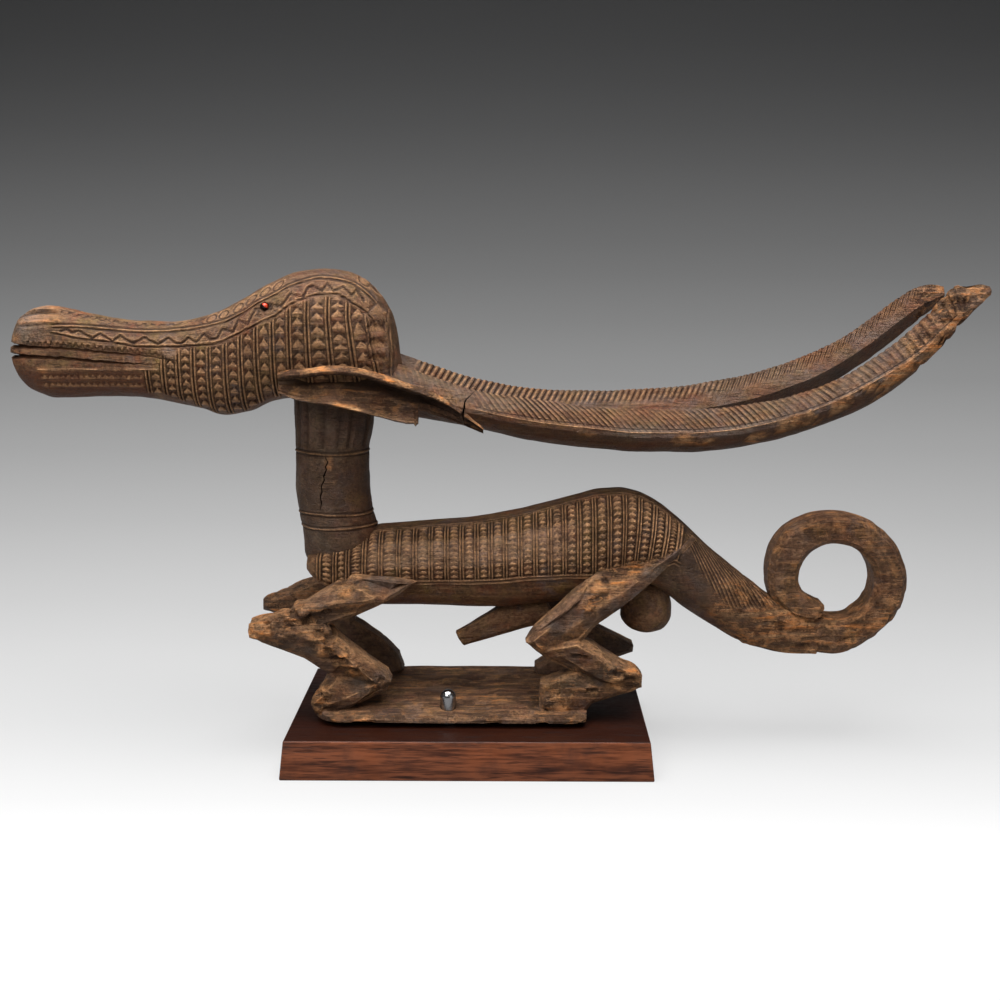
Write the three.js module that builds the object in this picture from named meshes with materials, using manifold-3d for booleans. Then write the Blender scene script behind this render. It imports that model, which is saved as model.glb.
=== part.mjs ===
// Antelope crest figure for a dance headdress, carved from one block of wood, on a wooden plinth.
// Millimetres, +Z up. +X runs from the muzzle to the horn tips and the tail, -Y is the near side.
// The origin is the middle of the plinth's underside.
import * as THREE from 'three';
import { mergeVertices } from 'three/addons/utils/BufferGeometryUtils.js';
import Module from 'manifold-3d';

const wasm = await Module();
wasm.setup();

// Driving sizes
const FIGURE_LENGTH = 691.5;
const PLATE_THICKNESS = 11;
const PLATE_EDGE_WEAR = 2;
const PLINTH_LENGTH = 258;
const PLINTH_DEPTH = 175;
const PLINTH_HEIGHT = 28;
const PLINTH_FLARE = 3;
const PLINTH_TOP_EDGE = 1.2;
const PIN_DIAMETER = 11.5;
const PIN_INSET = 16;
const PIN_SHARE_OF_PLATE = 0.491;
const PIN_PROUD = 10.5;
const PIN_BURIED = 16;
const COLLAR_DIAMETER = 17;
const COLLAR_THICKNESS = 2.4;
const SEED_DIAMETER = 5.4;
const SEED_SUNK = 0.55;
const EYE_RECESS_WIDTH = 9;
const EYE_RECESS_DEPTH = 2.2;
const CONTACT_GAP = 0.3;

const PLATE_UNDERSIDE = PLINTH_HEIGHT + 2 * CONTACT_GAP + COLLAR_THICKNESS;
const FEET_HEIGHT = PLATE_UNDERSIDE + PLATE_THICKNESS;

// Profile curves of the figure in its own units, each as [x, value], with z = 0 at the foot plate's top
const HEAD_START = -332.5;
const HEAD_END = -50;
const HEAD_TOP = [
  [-332.5, 258], [-330, 268], [-324, 279], [-315, 284], [-306, 285.5], [-289, 283], [-271, 279],
  [-245, 275], [-219, 274], [-193, 278], [-166, 289], [-140, 303], [-122, 310], [-104, 312], [-87, 310],
  [-76, 305], [-66, 296], [-58, 284], [-53, 270], [-50, 246],
];
const HEAD_BOTTOM = [
  [-332.5, 247], [-330, 239], [-326, 231], [-318, 224], [-301, 218.5], [-257, 220], [-230, 218],
  [-213, 215], [-195, 211], [-178, 206.5], [-160, 209], [-142, 217], [-128, 219], [-100, 216], [-66, 214],
  [-55, 218], [-50, 226],
];
const HEAD_HALF_WIDTH = [
  [-332.5, 8], [-330, 13], [-324, 18], [-310, 22], [-280, 23.5], [-240, 24.5], [-210, 26.5], [-180, 30.5],
  [-150, 35.5], [-120, 39], [-95, 39.5], [-75, 36.5], [-60, 29], [-53, 22], [-50, 14],
];
const HEAD_FIELD_TOP = [
  [-334, 266], [-282, 265], [-253, 260], [-225, 258], [-204, 258], [-190, 260], [-172, 263], [-160, 266],
  [-137, 277], [-121, 288], [-99, 294], [-85, 290], [-72, 276], [-60, 256], [-50, 240],
];
const HEAD_ROUNDNESS = 2.4;
const HEAD_RIBS = [
  -217.6, -206.8, -195.6, -184, -172, -160.6, -149, -137.4, -125.2, -112.4, -97.8, -83.6, -70.4,
];
const RIB_HALF_WIDTH = 2.2;
const RIB_HEIGHT = 1.6;

const MOUTH_UPPER = [[-342, 258], [-324, 257], [-292, 256], [-264, 253.5], [-228, 250.5], [-207, 247]];
const MOUTH_LOWER = [[-342, 250], [-324, 250], [-292, 249], [-264, 246.5], [-228, 245], [-220, 245]];
const MOUTH_DEPTH = 5;
const MOUTH_HALF_OPENING = 2.3;

const NOSTRIL_X = -306;
const NOSTRIL_Y = 21;
const NOSTRIL_Z = 280.5;
const NOSTRIL_HALF_LENGTH = 19;
const NOSTRIL_HALF_DEPTH = 8;
const NOSTRIL_HALF_HEIGHT = 7;
const NOSTRIL_TILT = 0.5;

const EYE_X = -143;
const EYE_Z = 286;

const HORN_SPREAD = [[-80, 15], [0, 15], [100, 14.5], [150, 15.5], [200, 22], [270, 34], [364, 48]];
const HORN_REACH_OUT = [[-80, 15], [0, 15], [150, 14], [270, 12.5], [330, 9], [364, 3]];
const HORN_REACH_IN = [[-80, 17], [100, 17], [145, 15.6], [160, 14], [270, 12], [330, 9], [364, 3]];
const NEAR_HORN = {
  start: -72,
  end: 359,
  top: [
    [-80, 256], [-49, 244], [-20, 234], [5, 226], [37, 221], [66, 217], [95, 214], [124, 213], [152, 212],
    [181, 214], [208, 218], [236, 225], [262, 237], [289, 253], [314, 274], [325, 288], [333, 298],
    [341, 302.5], [352, 302], [359, 300],
  ],
  middle: [
    [-80, 226], [6, 213], [23, 209], [51, 204], [94, 199], [123, 196.5], [158, 196.5], [186, 199],
    [207, 203], [234, 211], [260, 222], [286, 237], [312, 254], [330, 272], [359, 298],
  ],
  bottom: [
    [-80, 214], [-30, 205], [15, 196], [37, 191], [66, 186], [95, 183], [124, 181], [160, 181],
    [182, 183], [209, 188.5], [237, 197], [264, 208], [290, 222], [316, 244], [341, 273], [350, 284],
    [359, 297],
  ],
};
const FAR_HORN = {
  start: -72,
  end: 356,
  top: [
    [-80, 258], [-52, 250], [-22, 240], [8, 231], [37, 226], [67, 223], [96, 223], [126, 224], [156, 226],
    [177, 229], [201, 233], [231, 241], [262, 252.5], [292, 269], [307, 280], [322, 291], [334, 297.5],
    [346, 300], [356, 298],
  ],
  middle: [
    [-80, 230], [8, 217], [67, 208], [126, 210], [170, 214], [214, 223], [244, 231], [282, 246],
    [305, 261], [320, 271], [334, 283], [356, 292],
  ],
  bottom: [
    [-80, 214], [-30, 206], [37, 195], [96, 191], [150, 193.5], [200, 201.2], [245, 215], [271, 227],
    [296, 242], [315, 255], [333, 268], [356, 287],
  ],
};
const HORN_NOTCH_PITCH = 17;
const HORN_NOTCH_DEPTH = 1.5;
const HORN_NOTCH_SLANT = 11;
const HORN_NOTCHES_START = -20;
const HORN_TIP_LENGTH = 34;

const EAR_TOP = [
  [-134, 235], [-124, 241], [-113, 243], [-95, 245], [-78, 244], [-47, 235], [-19, 224], [11, 201],
];
const EAR_BOTTOM = [
  [-134, 229], [-124, 222], [-110, 219], [-96, 217.5], [-66, 210], [-49, 206], [-35, 203.5],
];
const EAR_BROKEN_BOTTOM = [[-34, 213], [-15, 206.5], [11, 196.5]];
const EAR_BREAK_X = -34.5;
const EAR_OUT = [[-134, 33], [-118, 43], [-95, 48], [-60, 49], [-20, 46], [11, 39]];
const EAR_BACK = [[-134, 22], [-118, 26], [-80, 28], [-50, 32.5], [-20, 33.5], [11, 34]];
const EAR_HOLLOW = [[-134, 1], [-124, 5], [-100, 10], [-50, 10], [-20, 7], [11, 2]];
const EAR_LIP = 3;

const NECK_FRONT = [
  [88, -114], [96, -119], [104, -122.5], [120, -124], [135, -127], [157, -129], [180, -128], [213, -128],
  [224, -129],
];
const NECK_BACK = [
  [88, -62], [110, -65], [125, -69], [135, -72], [150, -73.3], [180, -74.3], [199, -71], [224, -69],
];
const NECK_HALF_WIDTH = [[88, 19], [104, 21.5], [125, 24.5], [150, 24.5], [180, 24.5], [224, 26]];
const NECK_RINGS = [125, 135, 180];
const NECK_RING_HALF_WIDTH = 1.6;
const NECK_RING_HEIGHT = 1;
const NECK_FLUTES = 15;
const NECK_FLUTE_DEPTH = 1.6;
const NECK_FLUTES_FROM = 183;

// Body and tail root: every station joins an upper point to a lower one, upright first, then turning
const TRUNK_TOP = [
  [-119.5, 103], [-110, 107], [-92, 112], [-80, 117], [-68, 123.5], [-37, 126.3], [-1, 129.2],
  [26, 133.7], [52, 139.5], [79, 146.8], [96, 151], [110, 152], [124, 149.5], [141, 140.5], [159, 126],
  [177, 109], [196, 93], [214, 79], [232, 66], [247, 60], [263, 59],
];
const TRUNK_LOW_X = [
  [-119.5, -119.5], [98, 98], [110, 109], [124, 118], [141, 131], [159, 146], [177, 158], [196, 175],
  [214, 193], [232, 213], [247, 236], [263, 258],
];
const TRUNK_LOW_Z = [
  [-119.5, 91], [-112, 84], [-98, 74], [-66, 64.5], [-38, 64], [22, 62.5], [45, 65], [68, 67], [92, 72],
  [110, 78], [141, 80.5], [159, 73], [177, 63.5], [196, 52.5], [214, 41.5], [232, 33], [247, 28],
  [263, 27.5],
];
const TRUNK_HALF_WIDTH = [
  [-119.5, 17], [-115, 24], [-100, 29], [-60, 30], [0, 31], [60, 32.5], [110, 33], [141, 31], [159, 28],
  [177, 25.5], [196, 23], [214, 21], [232, 19], [247, 17], [263, 16],
];
const TRUNK_ROUNDNESS = [[-119.5, 3], [-90, 2.6], [-50, 2.2], [180, 2.2], [263, 4]];
const BODY_RIBS = [
  -110, -98, -88.5, -76.5, -64.5, -51.5, -39.5, -28, -16.5, -5.5, 5.3, 15.5, 26, 37, 48, 58.5, 69.2, 80,
  91, 102.2, 113.8, 125.6, 137, 147, 156,
];
const BODY_FIELD_HIGH = 0.86;
const BODY_FIELD_LOW = -0.5;

const TAIL_HOLE_X = 271.5;
const TAIL_HOLE_Z = 84.5;
const TAIL_HOLE_RADIUS = [
  [248, 28.8], [310, 28.8], [350, 28], [395, 27.2], [440, 27.5], [480, 28.8], [520, 28.6], [540, 28],
  [560, 25.5], [578, 22.5], [592, 21], [606, 20.5],
];
const TAIL_OUTER_RADIUS = [
  [248, 56.3], [268, 56.3], [290, 53.8], [309, 52.2], [338, 52.6], [357, 52.7], [379, 51], [412, 50],
  [437, 49.2], [476, 51.3], [498, 53.6], [515, 52.8], [534, 50.8], [555, 49.2], [572, 45], [590, 37],
  [606, 31],
];
const TAIL_CURL_STEPS = 24;
const TAIL_CURL_HALF_WIDTH = 15.5;

const LEG_WIDTH = 24;
const LEG_OUTSIDE = 51;
const LEG_FACET = 5;
const LEG_LEAN = [[50, 0], [70, 2], [100, 14]];
const FRONT_LEG = [
  [-37, 92], [-60, 75], [-79, 66], [-101, 59], [-97, 52], [-59, 23], [-56, 17], [-60, 10], [-97, -8],
  [-112, -8], [-115, 0], [-107, 12], [-102, 23], [-119, 34], [-149, 46], [-158.5, 51.5], [-158, 59.5],
  [-137, 65], [-114, 77], [-91, 90], [-70, 98], [-50, 99],
];
const FAR_FRONT_LEG = [
  [-37, 92], [-60, 75], [-79, 62], [-91, 47], [-90, 41], [-71, 28], [-57, 14], [-54, 2], [-60, -3],
  [-108, -3], [-111, 3], [-104, 12], [-98, 26], [-116, 36], [-149, 45], [-162, 50], [-161, 58],
  [-141, 66], [-120, 75], [-91, 90], [-70, 98], [-50, 99],
];
const HIND_LEG = [
  [92, 59.5], [108.5, 70.5], [127, 84], [124, 97], [100, 98], [85, 89], [48, 56.5], [41.5, 46.5],
  [55.5, 35], [76, 25], [52, 16], [52, -8], [84, -8], [90, 1], [126, 13], [126, 21.5], [83, 49],
];
const FAR_HIND_LEG = [
  [90, 56], [107, 71], [126, 84], [124, 96], [100, 97], [83, 88], [46, 57], [40, 47], [52, 37], [74, 26],
  [58, 12], [49, 6], [49, -3], [80, -3], [87, 5], [125.5, 17], [125.5, 22.5], [84, 43.5],
];

const PLATE_START = -112;
const PLATE_END = 86;
const PLATE_NEAR_EDGE = -60;
const PLATE_FAR_EDGE = 51.5;
const PLATE_START_RADIUS = 24;
const PLATE_END_RADIUS = 6;
// Worn slope of the plate's near side, each as [y, share of the plate's thickness worn off]
const PLATE_SLOPE = [[-18, 0], [-42, 0.16], [-61, 0.54]];

const SHEATH_STATIONS = [[54, 72, 64, 52, 10], [22, 61.5, 42, 46, 9.5], [-10.5, 41.5, -4.5, 31.5, 7]];
const SHEATH_SECTION = [
  [0.5, 1], [-0.5, 1], [-1, 0.45], [-0.8, -0.6], [-0.4, -1], [0.4, -1], [0.8, -0.6], [1, 0.45],
];
const SCROTUM_X = 132;
const SCROTUM_Z = 62;
const SCROTUM_RADIUS = 19.5;
const SCROTUM_PROFILE = [[0, -1], [0.62, -0.86], [0.97, -0.3], [0.94, 0.3], [0.6, 0.95], [0, 1.1]];
const SCROTUM_SIDES = 10;

// One unit of the curves above in millimetres
const UNIT = FIGURE_LENGTH / (NEAR_HORN.end - HEAD_START);

// A smooth curve through [position, value] points that never swings past them
function through(points) {
  const last = points.length - 1;
  const slope = (i) => (points[i + 1][1] - points[i][1]) / (points[i + 1][0] - points[i][0]);
  const tangent = (i) => {
    if (i === 0) return slope(0);
    if (i === last) return slope(last - 1);
    const before = slope(i - 1);
    const after = slope(i);
    return before * after <= 0 ? 0 : (2 * before * after) / (before + after);
  };
  return (position) => {
    const x = Math.min(Math.max(position, points[0][0]), points[last][0]);
    let i = 0;
    while (i < last - 1 && x > points[i + 1][0]) i += 1;
    const span = points[i + 1][0] - points[i][0];
    const t = (x - points[i][0]) / span;
    const rise = points[i + 1][1] - points[i][1];
    const bend = (1 - t) * (tangent(i) * span - rise) - t * (tangent(i + 1) * span - rise);
    return points[i][1] + t * rise + t * (1 - t) * bend;
  };
}

// A point of the figure, from its own units to millimetres over the plinth
function place(x, y, z) {
  return new THREE.Vector3(x * UNIT, y * UNIT, FEET_HEIGHT + z * UNIT);
}

// A closed skin over rings of equal point counts, with both ends capped and the faces turned out
function loft(rings) {
  const count = rings[0].length;
  const points = rings.flat();
  const index = [];
  for (let i = 0; i + 1 < rings.length; i += 1) {
    for (let j = 0; j < count; j += 1) {
      const a = i * count + j;
      const b = i * count + ((j + 1) % count);
      index.push(a, a + count, b, b, a + count, b + count);
    }
  }
  for (const [ring, turned] of [[0, false], [rings.length - 1, true]]) {
    const middle = rings[ring].reduce((sum, p) => sum.add(p), new THREE.Vector3()).divideScalar(count);
    points.push(middle);
    for (let j = 0; j < count; j += 1) {
      const a = ring * count + j;
      const b = ring * count + ((j + 1) % count);
      index.push(points.length - 1, turned ? b : a, turned ? a : b);
    }
  }
  let volume = 0;
  for (let i = 0; i < index.length; i += 3) {
    const [a, b, c] = [points[index[i]], points[index[i + 1]], points[index[i + 2]]];
    volume += a.dot(new THREE.Vector3().crossVectors(b, c));
  }
  if (volume < 0) index.reverse();
  const geometry = new THREE.BufferGeometry().setFromPoints(points);
  geometry.setIndex(index);
  return geometry;
}

function solid(geometry) {
  const bare = geometry.clone();
  bare.deleteAttribute('normal');
  bare.deleteAttribute('uv');
  const merged = mergeVertices(bare, 1e-3);
  return new wasm.Manifold(new wasm.Mesh({
    numProp: 3,
    vertProperties: new Float32Array(merged.attributes.position.array),
    triVerts: new Uint32Array(merged.index.array),
  }));
}

function geometryOf(manifold) {
  const mesh = manifold.getMesh();
  const geometry = new THREE.BufferGeometry();
  geometry.setAttribute('position', new THREE.BufferAttribute(new Float32Array(mesh.vertProperties), 3));
  geometry.setIndex(new THREE.BufferAttribute(new Uint32Array(mesh.triVerts), 1));
  return geometry;
}

// Half-width share of a rounded section at a height share from -1 to 1
function roundedWidth(height, roundness) {
  return (1 - Math.min(1, Math.abs(height)) ** roundness) ** (1 / roundness);
}

// A full ring from the heights of one side; the first and last heights lie on the middle plane
function ringFromHeights(heights, toPoint) {
  const side = heights.map((height) => toPoint(height, -1));
  const otherSide = heights.slice(1, -1).reverse().map((height) => toPoint(height, 1));
  return [...side, ...otherSide];
}

// Stations along x with a low rib at each given place
function ribStations(places) {
  return places.flatMap((x) => [[x - RIB_HALF_WIDTH, 0], [x, RIB_HEIGHT], [x + RIB_HALF_WIDTH, 0]]);
}

const headTop = through(HEAD_TOP);
const headBottom = through(HEAD_BOTTOM);
const headHalfWidth = through(HEAD_HALF_WIDTH);
const headFieldTop = through(HEAD_FIELD_TOP);

function headSide(x, z) {
  const middle = (headTop(x) + headBottom(x)) / 2;
  const half = (headTop(x) - headBottom(x)) / 2;
  return headHalfWidth(x) * roundedWidth((z - middle) / half, HEAD_ROUNDNESS);
}

function headRing(x, rib) {
  const middle = (headTop(x) + headBottom(x)) / 2;
  const half = (headTop(x) - headBottom(x)) / 2;
  const field = Math.min(0.8, Math.max(0.1, (headFieldTop(x) - middle) / half));
  const heights = [1, 0.94, field, field * 0.5 - 0.2, -0.52, -0.88, -1];
  return ringFromHeights(heights, (height, side) => {
    const proud = height < field + 0.01 && height > -0.98 ? rib : 0;
    const width = headHalfWidth(x) * roundedWidth(height, HEAD_ROUNDNESS);
    return place(x, side * (width + proud * roundedWidth(height, 4)), middle + (half + proud * 0.5) * height);
  });
}

function head() {
  const muzzle = [HEAD_START, -331.5, -329, -324, -316, -304, -285, -262, -240, -226].map((x) => [x, 0]);
  const back = [-62, -57, -53.5, -51.5, HEAD_END].map((x) => [x, 0]);
  const stations = [...muzzle, ...ribStations(HEAD_RIBS), ...back];
  return solid(loft(stations.map(([x, rib]) => headRing(x, rib))));
}

// A wedge that follows one mouth line along a cheek and right across the front of the lips
function mouthCut(line, side) {
  const height = through(line);
  const front = line[0][0];
  const end = line[line.length - 1][0];
  const ring = (x) => {
    const z = height(x);
    const fade = Math.min(1, (end - x) / 40);
    const behind = x - MOUTH_DEPTH;
    const inner = behind < HEAD_START ? -0.5 : headSide(behind, z) - MOUTH_DEPTH * 0.5 * fade;
    const outer = headSide(x, z) + 6 + MOUTH_DEPTH * (1 - fade);
    const open = MOUTH_HALF_OPENING * (0.35 + 0.65 * fade) * 2;
    return [place(x, side * inner, z), place(x, side * outer, z + open), place(x, side * outer, z - open)];
  };
  const corner = HEAD_START + MOUTH_DEPTH;
  const steps = [front, corner - 1, corner + 1, -318, -300, -270, -245, end - 8, end];
  return solid(loft(steps.map(ring)));
}

// A scooped facet on the side of the nose
function nostrilCut(side) {
  const scoop = new THREE.SphereGeometry(1, 10, 6);
  scoop.scale(NOSTRIL_HALF_LENGTH * UNIT, NOSTRIL_HALF_DEPTH * UNIT, NOSTRIL_HALF_HEIGHT * UNIT);
  scoop.rotateX(side * NOSTRIL_TILT);
  const centre = place(NOSTRIL_X, side * NOSTRIL_Y, NOSTRIL_Z);
  scoop.translate(centre.x, centre.y, centre.z);
  return solid(scoop);
}

// The seed's centre lies inside the cheek, under a six-sided recess
function eyeCentre(side) {
  const surface = headSide(EYE_X, EYE_Z) * UNIT;
  const centre = place(EYE_X, 0, EYE_Z);
  centre.y = side * (surface - EYE_RECESS_DEPTH - SEED_DIAMETER * (SEED_SUNK - 0.5));
  return centre;
}

function eyeSocket(side) {
  const centre = eyeCentre(side);
  const recess = new THREE.CylinderGeometry(EYE_RECESS_WIDTH / 2, EYE_RECESS_WIDTH / 2.6, 9, 6);
  recess.rotateX(side > 0 ? 0 : Math.PI);
  recess.translate(centre.x, centre.y + side * (4.5 + SEED_DIAMETER * (SEED_SUNK - 0.5)), centre.z);
  const seat = new THREE.SphereGeometry(SEED_DIAMETER / 2 + CONTACT_GAP, 8, 6);
  seat.rotateX(Math.PI / 2);
  seat.translate(centre.x, centre.y, centre.z);
  return solid(recess).add(solid(seat));
}

function seed(side) {
  const centre = eyeCentre(side);
  const geometry = new THREE.SphereGeometry(SEED_DIAMETER / 2, 8, 6);
  geometry.rotateX(Math.PI / 2);
  geometry.translate(centre.x, centre.y, centre.z);
  return geometryOf(solid(geometry));
}

// One horn: ridge, notched outer face, underside and inner face, in slanted sections
function horn(shape, side) {
  const top = through(shape.top);
  const middle = through(shape.middle);
  const bottom = through(shape.bottom);
  const spread = through(HORN_SPREAD);
  const reachOut = through(HORN_REACH_OUT);
  const reachIn = through(HORN_REACH_IN);
  const ring = (x, notch) => {
    const slanted = (share) => Math.min(shape.end, x + HORN_NOTCH_SLANT * share);
    const at = (share, reach, z) => {
      const along = slanted(share);
      return place(along, side * (spread(along) + reach(along)), z(along));
    };
    const halfway = (along) => (top(along) * 0.45 + middle(along) * 0.55) - notch;
    return [
      at(0, () => 0, (along) => top(along) - notch),
      at(0.5, (along) => reachOut(along) * 0.62 - notch, halfway),
      at(1, (along) => reachOut(along) - notch * 0.6, middle),
      at(1, (along) => reachOut(along), (along) => middle(along) - 3.5),
      at(0.5, () => 0, bottom),
      at(0, (along) => -reachIn(along), (along) => top(along) * 0.45 + bottom(along) * 0.55),
    ];
  };
  const rings = [ring(shape.start, 0), ring(HORN_NOTCHES_START - 24, 0)];
  const notchesEnd = shape.end - HORN_TIP_LENGTH;
  for (let x = HORN_NOTCHES_START; x < notchesEnd; x += HORN_NOTCH_PITCH) {
    rings.push(ring(x, 0), ring(x + HORN_NOTCH_PITCH * 0.7, HORN_NOTCH_DEPTH));
  }
  rings.push(ring(notchesEnd, 0), ring(shape.end - 14, 0.6), ring(shape.end - 5, 0), ring(shape.end, 0));
  return solid(loft(rings));
}

// A long hollow ear, open outwards; the near one has lost its lower lip towards the tip
function ear(side, broken) {
  const top = through(EAR_TOP);
  const whole = through([...EAR_BOTTOM, [11, 197]]);
  const remains = through(EAR_BROKEN_BOTTOM);
  const out = through(EAR_OUT);
  const back = through(EAR_BACK);
  const hollow = through(EAR_HOLLOW);
  const stations = [-134, -126, -115, -98, -78, -55, EAR_BREAK_X - 0.6, EAR_BREAK_X + 0.6, -14, 4, 11];
  const rings = stations.map((x) => {
    const high = top(x);
    const low = broken && x > EAR_BREAK_X ? remains(x) : whole(x);
    const lip = Math.min(EAR_LIP, (high - low) * 0.2);
    const lipOut = broken && x > EAR_BREAK_X ? back(x) + (out(x) - back(x)) * 0.45 : out(x) - 2;
    const floor = Math.min(out(x) - hollow(x), lipOut - 1);
    const outline = [
      [back(x), high - lip], [out(x) - 4, high], [out(x), high - lip * 0.6], [floor + 1, high - lip * 1.8],
      [floor, (high + low) / 2], [floor + 1, low + lip * 1.5], [lipOut, low + lip * 0.5], [lipOut - 3, low],
      [back(x), low + lip],
    ];
    return outline.map(([y, z]) => place(x, side * y, z));
  });
  return solid(loft(rings));
}

function neckRing(z, proud, flute, sides) {
  const [front, back] = [through(NECK_FRONT)(z), through(NECK_BACK)(z)];
  const halfWidth = through(NECK_HALF_WIDTH)(z);
  const points = [];
  for (let i = 0; i < sides; i += 1) {
    const angle = ((i + 0.5) * 2 * Math.PI) / sides;
    const reach = proud - (i % 2) * flute;
    const along = (back - front) / 2 + reach;
    const x = (front + back) / 2 + along * Math.cos(angle);
    points.push(place(x, (halfWidth + reach) * Math.sin(angle), z));
  }
  return points;
}

// The neck is plain below its top ring and fluted above it
function neck() {
  const heights = [[88, 0], [108, 0]];
  for (const z of NECK_RINGS) {
    heights.push([z - NECK_RING_HALF_WIDTH, 0], [z, NECK_RING_HEIGHT], [z + NECK_RING_HALF_WIDTH, 0]);
  }
  heights.push([157, 0]);
  heights.sort((a, b) => a[0] - b[0]);
  const plain = heights.map(([z, proud]) => neckRing(z, proud, 0, NECK_FLUTES));
  const fluted = [NECK_FLUTES_FROM - 3, NECK_FLUTES_FROM, 200, 224].map(
    (z, i) => neckRing(z, 0, i === 0 ? 0 : NECK_FLUTE_DEPTH, NECK_FLUTES * 2),
  );
  return solid(loft(plain)).add(solid(loft(fluted)));
}

const trunkTop = through(TRUNK_TOP);
const trunkLowX = through(TRUNK_LOW_X);
const trunkLowZ = through(TRUNK_LOW_Z);
const trunkHalfWidth = through(TRUNK_HALF_WIDTH);
const trunkRoundness = through(TRUNK_ROUNDNESS);

function trunkRing(x, rib) {
  const heights = [1, 0.88, 0.45, -0.1, -0.6, -0.92, -1];
  return ringFromHeights(heights, (height, side) => {
    const share = (height + 1) / 2;
    const proud = height < BODY_FIELD_HIGH && height > BODY_FIELD_LOW ? rib : 0;
    const width = trunkHalfWidth(x) * roundedWidth(height, trunkRoundness(x)) + proud;
    const along = trunkLowX(x) + (x - trunkLowX(x)) * share;
    return place(along, side * width, trunkLowZ(x) + (trunkTop(x) - trunkLowZ(x)) * share);
  });
}

function trunk() {
  const chest = [[-119.5, 0], [-117, 0]];
  const tail = [168, 180, 194, 208, 222, 236, 250, 263].map((x) => [x, 0]);
  const stations = [...chest, ...ribStations(BODY_RIBS), ...tail];
  return solid(loft(stations.map(([x, rib]) => trunkRing(x, rib))));
}

// The tail's curl around its round hole, with its end resting on the tail
function tailCurl() {
  const inner = through(TAIL_HOLE_RADIUS);
  const outer = through(TAIL_OUTER_RADIUS);
  const first = TAIL_OUTER_RADIUS[0][0];
  const last = TAIL_OUTER_RADIUS[TAIL_OUTER_RADIUS.length - 1][0];
  const section = [[0, 0.7], [0, -0.7], [0.16, -1], [0.8, -1], [1, -0.6], [1, 0.6], [0.8, 1], [0.16, 1]];
  const rings = [];
  for (let i = 0; i <= TAIL_CURL_STEPS; i += 1) {
    const degrees = first + ((last - first) * i) / TAIL_CURL_STEPS;
    const angle = THREE.MathUtils.degToRad(degrees);
    rings.push(section.map(([share, width]) => {
      const radius = inner(degrees) + (outer(degrees) - inner(degrees)) * share;
      const x = TAIL_HOLE_X + radius * Math.cos(angle);
      return place(x, TAIL_CURL_HALF_WIDTH * width, TAIL_HOLE_Z + radius * Math.sin(angle));
    }));
  }
  return solid(loft(rings));
}

// A leg is a side outline given thickness, with facets cut along its edges, leaning in to the body at the top
function leg(outline, side) {
  const shape = new THREE.Shape(outline.map(([x, z]) => new THREE.Vector2(x * UNIT, z * UNIT)));
  const facet = LEG_FACET * UNIT;
  const width = LEG_WIDTH * UNIT;
  const geometry = new THREE.ExtrudeGeometry(shape, {
    depth: width - 2 * facet,
    bevelThickness: facet,
    bevelSize: facet * 0.7,
    bevelOffset: -facet * 0.7,
    bevelSegments: 1,
  });
  geometry.rotateX(Math.PI / 2);
  const outside = LEG_OUTSIDE * UNIT;
  const nearFace = side < 0 ? -outside : outside - width;
  geometry.translate(0, nearFace + width - facet, 0);
  const lean = through(LEG_LEAN);
  const position = geometry.attributes.position;
  for (let i = 0; i < position.count; i += 1) {
    position.setY(i, position.getY(i) - side * lean(position.getZ(i) / UNIT) * UNIT);
  }
  geometry.translate(0, 0, FEET_HEIGHT);
  return solid(geometry);
}

function plateOutline() {
  const start = PLATE_START * UNIT;
  const end = PLATE_END * UNIT;
  const near = PLATE_NEAR_EDGE * UNIT;
  const far = PLATE_FAR_EDGE * UNIT;
  const rounded = PLATE_START_RADIUS * UNIT;
  const squared = PLATE_END_RADIUS * UNIT;
  const shape = new THREE.Shape();
  shape.moveTo(start + rounded, near);
  shape.lineTo(end - squared, near);
  shape.absarc(end - squared, near + squared, squared, -Math.PI / 2, 0, false);
  shape.absarc(end - squared, far - squared, squared, 0, Math.PI / 2, false);
  shape.lineTo(start + rounded, far);
  shape.absarc(start + rounded, far - rounded, rounded, Math.PI / 2, Math.PI, false);
  shape.absarc(start + rounded, near + rounded, rounded, Math.PI, Math.PI * 1.5, false);
  return shape;
}

// What the years have worn off the near side of the plate
function plateWear() {
  const first = PLATE_SLOPE[0][0];
  const last = PLATE_SLOPE[PLATE_SLOPE.length - 1][0];
  const height = (share) => FEET_HEIGHT - share * PLATE_THICKNESS;
  const ring = (x) => {
    const worn = PLATE_SLOPE.map(([y, share]) => new THREE.Vector3(x * UNIT, y * UNIT, height(share)));
    return [...worn, place(x, last, 8), place(x, first, 8)];
  };
  return solid(loft([ring(PLATE_START - 5), ring(PLATE_END + 5)]));
}

function plate() {
  const wear = Math.min(PLATE_EDGE_WEAR, PLATE_THICKNESS * 0.4);
  const geometry = new THREE.ExtrudeGeometry(plateOutline(), {
    depth: PLATE_THICKNESS - 2 * wear, curveSegments: 6,
    bevelThickness: wear, bevelSize: wear, bevelOffset: -wear, bevelSegments: 1,
  });
  geometry.translate(0, 0, PLATE_UNDERSIDE + wear);
  return solid(geometry).subtract(plateWear());
}

function sheath() {
  const rings = SHEATH_STATIONS.map(([xTop, zTop, xLow, zLow, halfWidth]) => {
    return SHEATH_SECTION.map(([width, height]) => {
      const share = (height + 1) / 2;
      return place(xLow + (xTop - xLow) * share, halfWidth * width, zLow + (zTop - zLow) * share);
    });
  });
  return solid(loft(rings));
}

function scrotum() {
  const radius = SCROTUM_RADIUS * UNIT;
  const profile = SCROTUM_PROFILE.map(([r, z]) => new THREE.Vector2(r * radius, z * radius));
  const geometry = new THREE.LatheGeometry(profile, SCROTUM_SIDES);
  geometry.rotateX(Math.PI / 2);
  const centre = place(SCROTUM_X, 0, SCROTUM_Z);
  geometry.translate(centre.x, centre.y, centre.z);
  return solid(geometry);
}

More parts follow.
